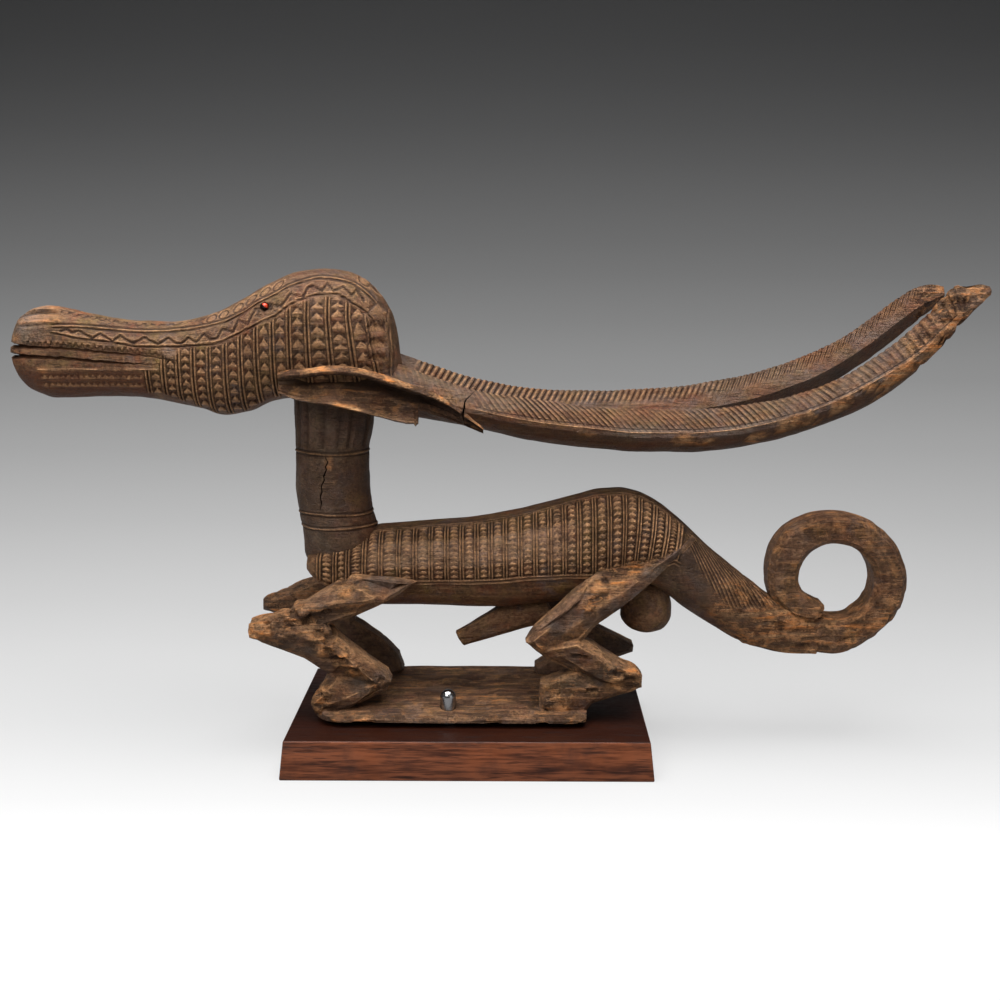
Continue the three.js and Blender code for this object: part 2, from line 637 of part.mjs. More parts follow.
// The pin stands near the front edge of the foot plate
const PIN_X = (PLATE_START + (PLATE_END - PLATE_START) * PIN_SHARE_OF_PLATE) * UNIT;
const PIN_Y = PLATE_NEAR_EDGE * UNIT + PIN_INSET;

function pinHole(from, to) {
  const radius = PIN_DIAMETER / 2 + CONTACT_GAP;
  const geometry = new THREE.CylinderGeometry(radius, radius, to - from, 12);
  geometry.rotateX(Math.PI / 2);
  geometry.translate(PIN_X, PIN_Y, (from + to) / 2);
  return solid(geometry);
}

function figure() {
  const wood = [
    head(), horn(NEAR_HORN, -1), horn(FAR_HORN, 1), ear(-1, true), ear(1, false), neck(), trunk(), tailCurl(),
    leg(FRONT_LEG, -1), leg(FAR_FRONT_LEG, 1), leg(HIND_LEG, -1), leg(FAR_HIND_LEG, 1),
    plate(), sheath(), scrotum(),
  ];
  let whole = wood[0];
  for (const piece of wood.slice(1)) whole = whole.add(piece);
  for (const side of [-1, 1]) {
    whole = whole.subtract(mouthCut(MOUTH_UPPER, side)).subtract(mouthCut(MOUTH_LOWER, side));
    whole = whole.subtract(nostrilCut(side)).subtract(eyeSocket(side));
  }
  whole = whole.subtract(pinHole(PLATE_UNDERSIDE - 1, FEET_HEIGHT + 1));
  return geometryOf(whole);
}

function plinth() {
  const ring = (length, depth, z) => [[1, 1], [-1, 1], [-1, -1], [1, -1]].map(
    ([x, y]) => new THREE.Vector3((x * length) / 2, (y * depth) / 2, z),
  );
  const edge = Math.min(PLINTH_TOP_EDGE, PLINTH_HEIGHT * 0.2);
  const block = loft([
    ring(PLINTH_LENGTH + 2 * PLINTH_FLARE, PLINTH_DEPTH + 2 * PLINTH_FLARE, 0),
    ring(PLINTH_LENGTH, PLINTH_DEPTH, PLINTH_HEIGHT - edge),
    ring(PLINTH_LENGTH - 2 * edge, PLINTH_DEPTH - 2 * edge, PLINTH_HEIGHT),
  ]);
  const floor = PLINTH_HEIGHT - PIN_BURIED - CONTACT_GAP;
  return geometryOf(solid(block).subtract(pinHole(floor, PLINTH_HEIGHT + 1)));
}

// Turned steel pin with a collar that carries the foot plate and a domed end that shows above it
function mountPin() {
  const radius = PIN_DIAMETER / 2;
  const low = PLINTH_HEIGHT - PIN_BURIED;
  const seat = PLINTH_HEIGHT + CONTACT_GAP;
  const shoulder = seat + COLLAR_THICKNESS;
  const domeStart = FEET_HEIGHT + PIN_PROUD - radius;
  const profile = [[0, low], [radius, low], [radius, seat], [COLLAR_DIAMETER / 2, seat]];
  profile.push([COLLAR_DIAMETER / 2, shoulder], [radius, shoulder], [radius, domeStart]);
  for (const degrees of [30, 60]) {
    const angle = THREE.MathUtils.degToRad(degrees);
    profile.push([radius * Math.cos(angle), domeStart + radius * Math.sin(angle)]);
  }
  profile.push([0, domeStart + radius]);
  const geometry = new THREE.LatheGeometry(profile.map(([r, z]) => new THREE.Vector2(r, z)), 12);
  geometry.rotateX(Math.PI / 2);
  geometry.translate(PIN_X, PIN_Y, 0);
  return geometryOf(solid(geometry));
}

const darkWood = new THREE.MeshStandardMaterial({ color: 0x4a3020, roughness: 0.62, metalness: 0 });
const plinthWood = new THREE.MeshStandardMaterial({ color: 0x3a140c, roughness: 0.38, metalness: 0 });
const steel = new THREE.MeshStandardMaterial({ color: 0xb9bcc0, roughness: 0.22, metalness: 1 });
const redSeed = new THREE.MeshStandardMaterial({ color: 0xb5241a, roughness: 0.3, metalness: 0 });

const headdress = new THREE.Group();
function addPiece(name, geometry, material) {
  geometry.computeVertexNormals();
  const mesh = new THREE.Mesh(geometry, material);
  mesh.name = name;
  headdress.add(mesh);
}

addPiece('headdress', figure(), darkWood);
addPiece('eye_near', seed(-1), redSeed);
addPiece('eye_far', seed(1), redSeed.clone());
addPiece('plinth', plinth(), plinthWood);
addPiece('mount_pin', mountPin(), steel);

export default headdress;
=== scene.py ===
import math
import bmesh
import bpy
import numpy as np
from mathutils import Matrix, Vector
from mathutils.geometry import delaunay_2d_cdt


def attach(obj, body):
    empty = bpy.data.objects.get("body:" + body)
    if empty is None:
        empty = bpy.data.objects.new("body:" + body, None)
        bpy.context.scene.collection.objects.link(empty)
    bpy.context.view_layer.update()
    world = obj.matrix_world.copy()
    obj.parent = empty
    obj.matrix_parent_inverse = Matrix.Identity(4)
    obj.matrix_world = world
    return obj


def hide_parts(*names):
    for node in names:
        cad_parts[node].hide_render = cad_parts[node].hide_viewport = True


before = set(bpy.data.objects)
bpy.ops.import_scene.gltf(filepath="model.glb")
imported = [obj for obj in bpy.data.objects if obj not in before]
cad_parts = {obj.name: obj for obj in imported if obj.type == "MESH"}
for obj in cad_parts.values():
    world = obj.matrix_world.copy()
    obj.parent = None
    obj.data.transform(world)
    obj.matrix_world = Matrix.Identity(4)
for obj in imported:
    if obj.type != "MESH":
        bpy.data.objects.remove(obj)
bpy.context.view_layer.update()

# The head: the front end of one old block of hardwood, cut with an adze and finished with a knife.
# Its cheeks carry columns of chip-cut roofs between double lines, and a zigzag runs under the crown.
# It is worked as a fine skin of stations and rows, because every cut lies on the head's own curves.

PLATE_TOP = 42.0

HEAD_TOP = [
    (-332.5, 258), (-330, 268), (-324, 279), (-315, 284), (-306, 285.5), (-289, 283), (-271, 279),
    (-245, 275), (-219, 274), (-193, 278), (-166, 289), (-140, 303), (-122, 310), (-104, 312),
    (-87, 310), (-76, 305), (-66, 296), (-58, 284), (-53, 270), (-50, 246),
]
HEAD_BOTTOM = [
    (-332.5, 247), (-330, 239), (-326, 231), (-318, 224), (-301, 218.5), (-257, 220), (-230, 218),
    (-213, 215), (-195, 211), (-178, 206.5), (-160, 209), (-142, 217), (-128, 219), (-100, 216),
    (-66, 214), (-55, 218), (-50, 226),
]
HEAD_HALF_WIDTH = [
    (-332.5, 8), (-330, 13), (-324, 18), (-310, 22), (-280, 23.5), (-240, 24.5), (-210, 26.5),
    (-180, 30.5), (-150, 35.5), (-120, 39), (-95, 39.5), (-75, 36.5), (-60, 29), (-53, 22), (-50, 14),
]
HEAD_ROUNDNESS = 2.4
CROWN_OVALS = [
    (-184, 4.2), (-174.5, 4.6), (-163.5, 4.8), (-154, 4.8), (-144, 4.8), (-134.5, 4.8), (-74.5, 5.8),
    (-67.5, 8.7),
]
CROWN_LINE = [
    (-300, 271.5), (-284.6, 271.6), (-256.4, 269.5), (-227.7, 268.1), (-198.6, 270.3), (-176.2, 274.7),
    (-161.3, 280.5), (-146.7, 289.6), (-135.7, 294.6), (-125.2, 300.8), (-114.8, 304.3),
    (-104.4, 306.3), (-93.8, 305.6), (-83.4, 303.5), (-76, 299), (-62, 284), (-50, 246),
]
FIELD_LINE = [
    (-300, 266.8), (-294.2, 266.1), (-276.9, 262.6), (-262.6, 261.2), (-248.3, 259.1), (-233.9, 257),
    (-212.1, 257.1), (-197.5, 258), (-179, 259.6), (-160.4, 267.5), (-145.7, 274.6), (-134.7, 279.5),
    (-124.1, 287.2), (-117.1, 290.6), (-108.7, 293.4), (-99.7, 294.7), (-92.7, 294.7), (-85.8, 292),
    (-80.9, 288.5), (-75.4, 285.7), (-66, 276), (-50, 240),
]
COLUMN_TOP = [
    (-236, 240.5), (-221, 240.5), (-219, 251), (-208, 251), (-205, 255.5), (-197.5, 256.2),
    (-179, 257.6), (-160.4, 265.3), (-145.7, 272.3), (-134.7, 277.2), (-124.1, 285), (-117.1, 288.6),
    (-108.7, 291.4), (-99.7, 292.7), (-92.7, 292.7), (-85.8, 290), (-75.4, 283.5), (-66, 274),
]
COLUMN_FOOT = [
    (-236, 224), (-222, 223.5), (-211, 219.5), (-200.5, 215), (-188, 210.6), (-177.7, 207.8),
    (-164.5, 210.2), (-151.5, 216), (-138.3, 221), (-60, 221),
]
ZIGZAG = [
    (-291, 267.8), (-287, 269.6), (-282.8, 266.8), (-278.6, 268.6), (-274.2, 266.1), (-268.3, 263),
    (-262.8, 266.2), (-259.2, 264), (-254, 260.9), (-248.6, 264.8), (-242.6, 261.2), (-238.9, 259.4),
    (-231.3, 263.6), (-226.8, 261.4), (-220.9, 258.9), (-213.9, 263.6), (-207.8, 259.6),
    (-204.1, 259.5), (-199.2, 263.6), (-193.1, 260.4), (-187.5, 266.4), (-182.8, 262.7),
    (-177.6, 263.4), (-174.1, 270.3), (-165.7, 267.8), (-162.3, 276.2), (-154.6, 273.5),
    (-151.8, 280.3), (-149.1, 284.5), (-137, 284), (-140.2, 288), (-130.6, 286.1), (-127.7, 289.8),
    (-124.4, 294.8), (-115.1, 292.7), (-112.5, 298.8), (-109.1, 300.8), (-102, 297), (-98.8, 302.4),
    (-93.7, 297.1), (-87.4, 299.7), (-80.8, 294), (-78, 298), (-73, 290),
]
HEAD_COLUMNS = [
    -229.2, -217.6, -206.8, -195.6, -184, -172, -160.6, -149, -137.4, -125.2, -112.4, -97.8, -83.6, -70.4,
]
# Heights of the roofs cut in each column, from the top down
HEAD_ROOFS = [
    [238.6, 233, 227.4], [247.7, 241.8, 235.8, 229.8, 224.6], [251.2, 245.6, 239.6, 233.7, 227.8, 222.5],
    [255.4, 249.1, 242.8, 236.5, 230.2, 224.6, 219], [257.5, 251.2, 244.9, 238.6, 232.3, 226, 219.7, 214.8],
    [261, 254, 247.7, 241.4, 235.1, 228.8, 222.5, 216.2], [266.6, 260.3, 249.8, 241.4, 233.7, 226, 219],
    [272.9, 263.8, 255.4, 247, 237.9, 230.2], [278.5, 272.9, 264.5, 256.1, 247, 238],
    [285.5, 278.5, 270.8, 263.8, 254, 247.7, 240], [289, 282, 272.9, 264.5, 256.1, 247, 239],
    [289, 284.1, 276.4, 267.3, 260.3, 254, 247], [284.8, 275.7, 262.4, 254, 244.9],
]
SNOUT = -332.5
LIP = 240.8
MUZZLE_END = -232.5
MUZZLE_OVALS = np.arange(-290, -188, 6.6)
MUZZLE_OVAL_OUT = 9.5
TOOTH_PITCH = 4.4
GUM_LINE = [(-324, 258.6), (-292, 257.8), (-264, 255.4), (-228, 252.2), (-210, 249)]
JAW_NOTCHES, JAW_NOTCH_HEIGHT = (237.8, 231.8), 3.4
NOSTRIL, NOSTRIL_HALF_LENGTH, NOSTRIL_HEIGHT = (-307.6, 274.2), 17.5, 8.2
BACK_HOLLOWS_TOP, BACK_HOLLOW_PITCH = 288, 11.5
BACK_LINES, BACK_CREST = (-55.8, -53.4), -54.6
# The raised double lines between columns: how far from the middle their feet and crests lie, and the
# heights of foot, crest and middle
LINE_FOOT, LINE_CREST = 2.4, 1.25
LINE_HEIGHTS = (-0.3, 0.6, -0.75)
GROOVE = 0.95
NEAR = 3
HEAD_ROWS = 70


def through(points):
    """A smooth line through the points that never swings past them."""
    xs, ys = np.array(points, float).T
    spans = np.diff(xs)
    slopes = np.diff(ys) / spans
    before, after = slopes[:-1], slopes[1:]
    same = before * after > 0
    tangents = np.concatenate([slopes[:1], np.zeros(len(xs) - 2), slopes[-1:]])
    tangents[1:-1] = np.where(same, 2 * before * after / np.where(same, before + after, 1.0), 0.0)

    def curve(position):
        x = np.clip(np.asarray(position, float), xs[0], xs[-1])
        i = np.clip(np.searchsorted(xs, x, side="right") - 1, 0, len(xs) - 2)
        t = (x - xs[i]) / spans[i]
        rise = ys[i + 1] - ys[i]
        bend = (1 - t) * (tangents[i] * spans[i] - rise) - t * (tangents[i + 1] * spans[i] - rise)
        return ys[i] + t * rise + t * (1 - t) * bend

    return curve


def chance(i, j, k, seed):
    """A scattered value from -1 to 1 for each whole-numbered place, always the same for one seed."""
    scatter, stir = (374761393, 668265263, 2246822519), 1274126177
    with np.errstate(over="ignore"):
        mixed = np.uint32((seed * 3266489917) & 0xFFFFFFFF)
        for place, factor in zip((i, j, k), scatter):
            mixed = mixed + place.astype(np.uint32) * np.uint32(factor)
        mixed = (mixed ^ (mixed >> np.uint32(13))) * np.uint32(stir)
    mixed = mixed ^ (mixed >> np.uint32(16))
    return (mixed & np.uint32(0xFFFF)).astype(float) / 32767.5 - 1


def unevenness(points, sizes, seed):
    """A smooth uneven value from -1 to 1, in lumps of the given lengths along x, y and z."""
    place = points / np.array(sizes, float)
    cell = np.floor(place).astype(np.int64)
    share = place - cell
    share = share * share * (3 - 2 * share)
    value = np.zeros(points.shape[:-1])
    for a in (0, 1):
        for b in (0, 1):
            for c in (0, 1):
                weight = (
                    (share[..., 0] if a else 1 - share[..., 0])
                    * (share[..., 1] if b else 1 - share[..., 1])
                    * (share[..., 2] if c else 1 - share[..., 2])
                )
                value += weight * chance(cell[..., 0] + a, cell[..., 1] + b, cell[..., 2] + c, seed)
    return value


def step(value, low, high):
    """0 below low and 1 above high, with a smooth run between; low may lie above high."""
    t = np.clip((value - low) / (high - low), 0, 1)
    return t * t * (3 - 2 * t)


def between(value, start, full, fade, end):
    """1 from full to fade, running out smoothly to 0 at start and at end."""
    return step(value, start, full) * (1 - step(value, fade, end))


def line_cut(distance, half_width):
    """1 on a line and 0 from half_width away from it."""
    return np.clip(1 - np.abs(distance) / half_width, 0, 1)


def away_from(x, z, path):
    """How far points are from a line of straight runs."""
    nearest = np.full(np.broadcast(x, z).shape, 1e9)
    for (x0, z0), (x1, z1) in zip(path, path[1:]):
        dx, dz = x1 - x0, z1 - z0
        t = np.clip(((x - x0) * dx + (z - z0) * dz) / (dx * dx + dz * dz), 0, 1)
        nearest = np.minimum(nearest, np.hypot(x - x0 - t * dx, z - z0 - t * dz))
    return nearest


def hand_work(points, seed, *waves):
    """The unevenness that an adze and a knife leave, in waves of (lump lengths, height)."""
    return sum(height * unevenness(points, sizes, seed + i) for i, (sizes, height) in enumerate(waves))


def displaced(rings, height):
    """The rings moved out from their own surface by a height at each point."""
    along = np.gradient(rings, axis=0)
    around = (np.roll(rings, -1, axis=1) - np.roll(rings, 1, axis=1)) / 2
    normals = np.cross(along, around)
    length = np.linalg.norm(normals, axis=2, keepdims=True)
    normals = normals / np.maximum(length, 1e-9)
    outward = np.sum(normals * (rings - rings.mean(axis=1, keepdims=True)), axis=2)
    return rings + normals * (1.0 if np.median(outward) >= 0 else -1.0) * height[..., None]


def both_sides(near, mirrored=False):
    """Values of the near side carried round to the far side, as a mirror image if they are places."""
    far = near[:, -2:0:-1].copy()
    if mirrored:
        far[..., 1] *= -1
    return np.concatenate([near, far], axis=1)


def mark(obj, cuts, patina_and_shade, cells=(0, 0, 0), drawn=(0, 0, 0)):
    """Keeps at each face corner how the surface was cut, worn or broken (the wear with painted highlight),
    how dark, red or grey it is (the dark partly painted shade), the place inside the cells of chip carving,
    and how near the drawn lines and their crests run."""
    mesh = obj.data
    corner = np.zeros(len(mesh.loops), np.int32)
    mesh.loops.foreach_get("vertex_index", corner)
    for name, values in (("cuts", cuts), ("patina_and_shade", patina_and_shade), ("cells", cells), ("drawn", drawn)):
        values = np.asarray(values, float)
        if values.ndim == 1:
            values = np.tile(values, (len(mesh.vertices), 1))
        layer = mesh.attributes.new(name, "FLOAT_VECTOR", "CORNER")
        layer.data.foreach_set("vector", values[corner].astype(np.float32).ravel())


def skinned(name, rings, cuts, patina_and_shade, cells=(0, 0, 0), drawn=(0, 0, 0)):
    """A closed solid over rings of points, in the figure's millimetres over the foot plate's top."""
    count, around = rings.shape[:2]
    points = np.concatenate([rings.reshape(-1, 3), rings[:1].mean(axis=1), rings[-1:].mean(axis=1)])
    i = np.arange(count - 1)[:, None] * around
    j = np.arange(around)[None, :]
    k = (j + 1) % around
    walls = np.stack([i + j, i + around + j, i + around + k, i + k], axis=2).reshape(-1, 4)
    j, k = j[0], k[0]
    last = (count - 1) * around
    start = np.stack([np.full(around, count * around), j, k], axis=1)
    end = np.stack([np.full(around, count * around + 1), last + k, last + j], axis=1)
    faces = walls.tolist() + start.tolist() + end.tolist()
    corners = np.concatenate([walls[:, :3], walls[:, [0, 2, 3]], start, end])
    a, b, c = (points[corners[:, n]] for n in range(3))
    if np.sum(a * np.cross(b, c)) < 0:
        faces = [face[::-1] for face in faces]
    place = points.copy()
    place[:, 2] += PLATE_TOP
    mesh = bpy.data.meshes.new(name)
    mesh.from_pydata((place / 1000).tolist(), [], faces)
    mesh.validate()
    obj = bpy.data.objects.new(name, mesh)
    bpy.context.scene.collection.objects.link(obj)

    def whole(values):
        flat = np.stack([np.broadcast_to(v, (count, around)).reshape(-1) for v in values], axis=1)
        return np.concatenate([flat, flat[:1], flat[-1:]])

    mark(obj, np.clip(whole(cuts), 0, 1), np.clip(whole(patina_and_shade), 0, 1), whole(cells), whole(drawn))
    return obj


def pick(obj):
    """Makes one object the only selected one, and the active one."""
    bpy.ops.object.select_all(action="DESELECT")
    bpy.context.view_layer.objects.active = obj
    obj.select_set(True)


def work(base, tool, operation):
    """Joins a carved form to the block, or cuts one out of it."""
    pick(base)
    change = base.modifiers.new(operation.lower(), "BOOLEAN")
    change.operation = operation
    change.solver = "MANIFOLD"
    change.object = tool
    bpy.ops.object.modifier_apply(modifier=change.name)
    bpy.data.objects.remove(tool)


def plain_stations(places, column):
    return [(x, 0, 0, column, 0) for x in places]


def column_stations(lines, foot, crest, heights, shares):
    """Stations over columns of chips between raised double lines. Each is (x, height of the double
    line there, place across the cell, column, step out from the cell's middle: 1 at its edge, 1.5 on
    a crest of the double line, 2 between the crests)."""
    edge, top, valley = heights
    stations = []
    for i, line in enumerate(lines):
        last = i == len(lines) - 1
        stations += [(line - foot, edge, 1, i - 1, 1), (line - crest, top, 1, -1, 1.5)]
        stations += [(line, valley, 1, -1, 2), (line + crest, top, 1, -1, 1.5)]
        stations += [(line + foot, edge, -1, -1 if last else i, 1)]
        if not last:
            start, end = line + foot, lines[i + 1] - foot
            stations += [(start + (end - start) * t, 0, 2 * t - 1, i, abs(2 * t - 1)) for t in shares]
    return stations


head_top = through(HEAD_TOP)
head_bottom = through(HEAD_BOTTOM)
head_half_width = through(HEAD_HALF_WIDTH)
crown_line = through(CROWN_LINE)
field_line = through(FIELD_LINE)
column_top = through(COLUMN_TOP)
column_foot = through(COLUMN_FOOT)
column_lean = through([(-125, 0), (-112, 1), (-97.8, 3), (-83.6, 5.5), (-70, 8), (-50, 0)])


def head_heights(x):
    """The height of the head's middle at x, and half its own height there."""
    return (head_top(x) + head_bottom(x)) / 2, (head_top(x) - head_bottom(x)) / 2


def head_side(x, z):
    middle, half = head_heights(x)
    height = np.clip(np.abs((z - middle) / half), 0, 1)
    return head_half_width(x) * (1 - height**HEAD_ROUNDNESS) ** (1 / HEAD_ROUNDNESS)


def head_side_rows(x):
    """Heights (shares from 1 to -1) of the rows of one side, closer where the carving is finer."""
    turn = np.linspace(0, np.pi, 500)
    share = np.sign(np.cos(turn)) * np.abs(np.cos(turn)) ** (2 / HEAD_ROUNDNESS)
    width = head_half_width(x) * np.abs(np.sin(turn)) ** (2 / HEAD_ROUNDNESS)
    middle, half = head_heights(x)
    z = middle + half * share
    span = np.hypot(np.diff(width), np.diff(z))
    centre = (z[1:] + z[:-1]) / 2
    top, field, foot = crown_line(x), field_line(x), column_foot(x)
    weight = np.where(centre > top + 2.5, 0.75, np.where(centre > field - 1.5, 1.5, 1.0))
    weight = np.where(centre < foot - 1, 0.45, weight)
    reach = np.concatenate([[0], np.cumsum(span * weight)])
    return np.interp(np.linspace(0, reach[-1], HEAD_ROWS), reach, share)


stations = plain_stations([SNOUT, -332.2, -331.4, -330.2, -328.8, -327.2, -325.5], -1)
stations += plain_stations(np.arange(-324.0, -232.4, 1.3), -1)
stations += column_stations(HEAD_COLUMNS, LINE_FOOT, LINE_CREST, LINE_HEIGHTS, np.arange(1, 6) / 6)
stations += plain_stations([-66.4, -65, -63.6, -62.2, -60.8, -59.4, -58, -56.7], -2)
stations += plain_stations([-55.4, -54.2, -53.1, -52.1, -51.3, -50.7, -50.3, -50], -2)
nominal, line_height, across, column, cell_out = np.array(stations).T[:, :, None]
share = np.array([head_side_rows(s[0]) for s in stations])
middle, half = head_heights(nominal)
z = middle + half * share
x = nominal + column_lean(nominal) * np.clip((278 - z) / 45, 0, 1)
middle, half = head_heights(x)
z = middle + half * share
y = head_half_width(x) * (1 - np.abs(share) ** HEAD_ROUNDNESS) ** (1 / HEAD_ROUNDNESS)

raised, cut, wear_and_highlight, cell_down, near_line, near_crest = np.zeros((6, *z.shape))
cell_out = cell_out + 0 * z

# Columns: double raised lines, and chip-cut roofs between them
foot, top = column_foot(nominal), column_top(nominal)
inside = between(z, foot - 0.4, foot + 1.0, top - 0.8, top + 0.6)
inside *= between(nominal, -233, -231.5, -68.4, -67.4)
lines = line_height * inside
raised += lines
wear_and_highlight += np.clip(lines / LINE_HEIGHTS[1], 0, 1)
cut += np.clip(lines / LINE_HEIGHTS[2], 0, 1)
carved = inside.copy()
for number, roofs in enumerate(HEAD_ROOFS):
    here = (column == number) & (np.abs(across) < 0.99)
    edges = roofs + [roofs[-1] - 6]
    heights = [2 * edges[0] - edges[1]] + edges
    count = np.interp(-z, [-height for height in heights], range(len(heights)))
    cell_down = np.where(column == number, count, cell_down)
    for apex, following in zip(edges, edges[1:]):
        tall = min(4.4, 0.56 * (apex - following))
        t = (apex - z) / tall
        chip = (t > -0.12) & (t < 1.0) & (np.abs(across) > t - 0.05)
        deep = np.clip(0.55 + (np.abs(across) - t) * 1.2, 0.35, 1) * inside
        raised -= np.where(here & chip, 1.0 * deep, 0)
        cut += np.where(here & chip, deep, 0)
        roof = (t >= 0) & (t <= 1.15) & (np.abs(across) <= t - 0.05)
        raised += np.where(here & roof, 0.25 * inside, 0)
        wear_and_highlight += np.where(here & roof, 0.85 * inside, 0)

# Lines under the crown, the zigzag band, and the line over the field
crown, field = crown_line(x), field_line(x)
band = between(x, -302, -296, -66, -60)
for distance, depth in ((z - crown - 1.3, 0.5), (z - crown + 1.2, 0.55), (z - field, 0.8)):
    groove = line_cut(distance, GROOVE) * band
    raised -= depth * groove
    cut += 0.5 * groove
    near_line = np.maximum(near_line, line_cut(distance, NEAR) * band)
crest = line_cut(z - crown, 0.8) * band + line_cut(z - field - 1.5, 0.8) * band * 0.6
raised += 0.3 * crest
wear_and_highlight += 0.4 * crest
near_crest = np.maximum(line_cut(z - crown, NEAR), line_cut(z - field - 1.5, NEAR)) * band
zigzag = away_from(x, z, ZIGZAG)
groove = line_cut(zigzag, 1.15)
raised -= 0.9 * groove
cut += 0.6 * groove
near_line = np.maximum(near_line, line_cut(zigzag, NEAR))
near_crest = np.maximum(near_crest, 0.9 * line_cut(zigzag - 1.6, NEAR) * (z > field - 0.5))
wear_and_highlight += 0.3 * line_cut(zigzag - 1.7, 0.8)

# Small ovals in two rows along the muzzle, and larger ones over the crown's double line
for centre in MUZZLE_OVALS:
    out = y - MUZZLE_OVAL_OUT
    apart = np.abs(np.hypot((x - centre) / 2.7, out / 2.4) - 1) * 2.4
    near = (z > middle) * (np.hypot(x - centre, out) < 7)
    groove = line_cut(apart, 0.9) * near
    raised -= 0.7 * groove
    cut += 0.6 * groove
    near_line = np.maximum(near_line, line_cut(apart, NEAR) * near)
nearest = 1.7 + 0 * x
for centre, rise in CROWN_OVALS:
    nearest = np.minimum(nearest, np.hypot((x - centre) / 3.5, (z - crown - rise) / 2.5))
groove = line_cut((nearest - 1) * 2.8, 0.9)
raised -= 0.7 * groove
cut += 0.3 * groove
near_line = np.maximum(near_line, 0.92 * line_cut((nearest - 1) * 2.8, NEAR))
over_crown = (z > crown + 0.6) & (x > -196)
cell_out = np.where(over_crown, nearest, cell_out)
cell_down = np.where(over_crown, 0.62, cell_down)
carved = np.where(over_crown, 1 - step(nearest, 1.45, 1.68), carved)

# A row of small teeth over the mouth, the lip's ridge, and two rows of small notches along the jaw
tooth = np.abs(((nominal + 324) / TOOTH_PITCH) % 1 - 0.5) * 2 + 0 * z
rise = (z - through(GUM_LINE)(x)) / 3.0
muzzle = nominal < MUZZLE_END
toothed = between(rise, -0.5, -0.3, 0.85, 1.1) * between(x, -321, -318, -236, -233)
notch = (rise > -0.6) & (rise < tooth * 1.05) & (x > -319) & (x < -216)
raised -= np.where(notch, 0.9, 0)
cut += np.where(notch, 0.5, 0)
cell_out = np.where(muzzle, tooth, cell_out)
cell_down = np.where(muzzle & (z > 246), 1.08 + rise * 0.42, cell_down)
carved = np.maximum(carved, 0.5 * toothed)
along_lip = between(x, -315, -308, -222, -220)
ridge = line_cut(z - LIP, 1.3) * along_lip
raised += 0.8 * ridge
wear_and_highlight += ridge
near_crest = np.maximum(near_crest, line_cut(z - LIP, NEAR) * along_lip)
on_jaw = between(x, -308, -305, -235, -232)
ticked = between(z, 226.4, 227.0, 237.6, 238.2) * on_jaw
cell_down = np.where(muzzle & (z < 246), (243.8 - z) / 6.0, cell_down)
carved = np.maximum(carved, 0.5 * ticked)
for height in JAW_NOTCHES:
    t = (height - z) / JAW_NOTCH_HEIGHT
    row = (t > 0) & (t < 1) & (x > -308) & (x < -232)
    raised -= np.where(row & (tooth > t), 0.6, 0)
    wear_and_highlight += np.where(row & (tooth <= t), 0.6, 0)
    raised += 0.25 * line_cut(z - height + 3.6, 0.8) * on_jaw

# The nostril: a lens hollowed under its upper edge, running out to a worn ledge below
lens = (x - NOSTRIL[0]) / NOSTRIL_HALF_LENGTH
lens_foot = NOSTRIL[1] + 0.07 * (x + 324)
lens_top = lens_foot + NOSTRIL_HEIGHT * np.sqrt(np.clip(1 - lens * lens, 0, 1))
high = (z - lens_foot) / np.maximum(lens_top - lens_foot, 0.1)
hollow = (np.abs(lens) < 1) & (high > 0) & (high < 1)
raised -= np.where(hollow, 3.4 * high * (1 - lens * lens), 0)
ledge = line_cut(z - lens_foot + 0.9, 1.5) * (1 - step(np.abs(lens), 0.8, 1.0))
raised += 0.7 * ledge - 0.8 * line_cut(z - lens_foot + 3.2, 1.3) * (np.abs(lens) < 0.8)
# Painted light and shade in the hollow: lighter towards its floor, near black at its top under the upper edge
wear_and_highlight += 0.9 * ledge + np.where(hollow, 0.25 * (1 - high), 0)
cut += np.where(hollow & (high > 0.78), 0.85, 0)
rim = (np.abs(lens) < 0.7) & (high >= 1) & (high < 1.3)
wear_and_highlight += np.where(rim, 0.8, 0)
ochre = np.where(hollow & (high < 0.7), 0.25, 0) + 0.5 * ledge + np.where(rim, 0.3, 0)

# Bold hollows at the back of the head, and the double line behind them
back = between(x, -70.5, -69.5, -57, -56) * between(z, 247, 249, 288, 290)
from_top = (BACK_HOLLOWS_TOP - z) / BACK_HOLLOW_PITCH
t = from_top % 1
wide = np.abs((x + 64) / 6.0)
chip = (wide < 0.95) * (t > 0.1) * (t < 0.75) * back
scoop = np.sin(np.clip((t - 0.1) / 0.65, 0, 1) * np.pi) ** 0.5
raised -= 2.4 * chip * (1 - 0.5 * wide) * scoop * (1 - step(z, 272, 284))
chipped = back * (wide < 1.05) > 0.5
cell_out = np.where(chipped, wide * 0.98, cell_out)
cell_down = np.where(chipped, from_top, cell_down)
carved = np.where(chipped, 1.0, carved)
behind = (z > 232) * (z < 292)
for place in BACK_LINES:
    near_line = np.maximum(near_line, line_cut(x - place, NEAR) * behind)
near_crest = np.maximum(near_crest, 0.95 * line_cut(x - BACK_CREST, NEAR) * behind)

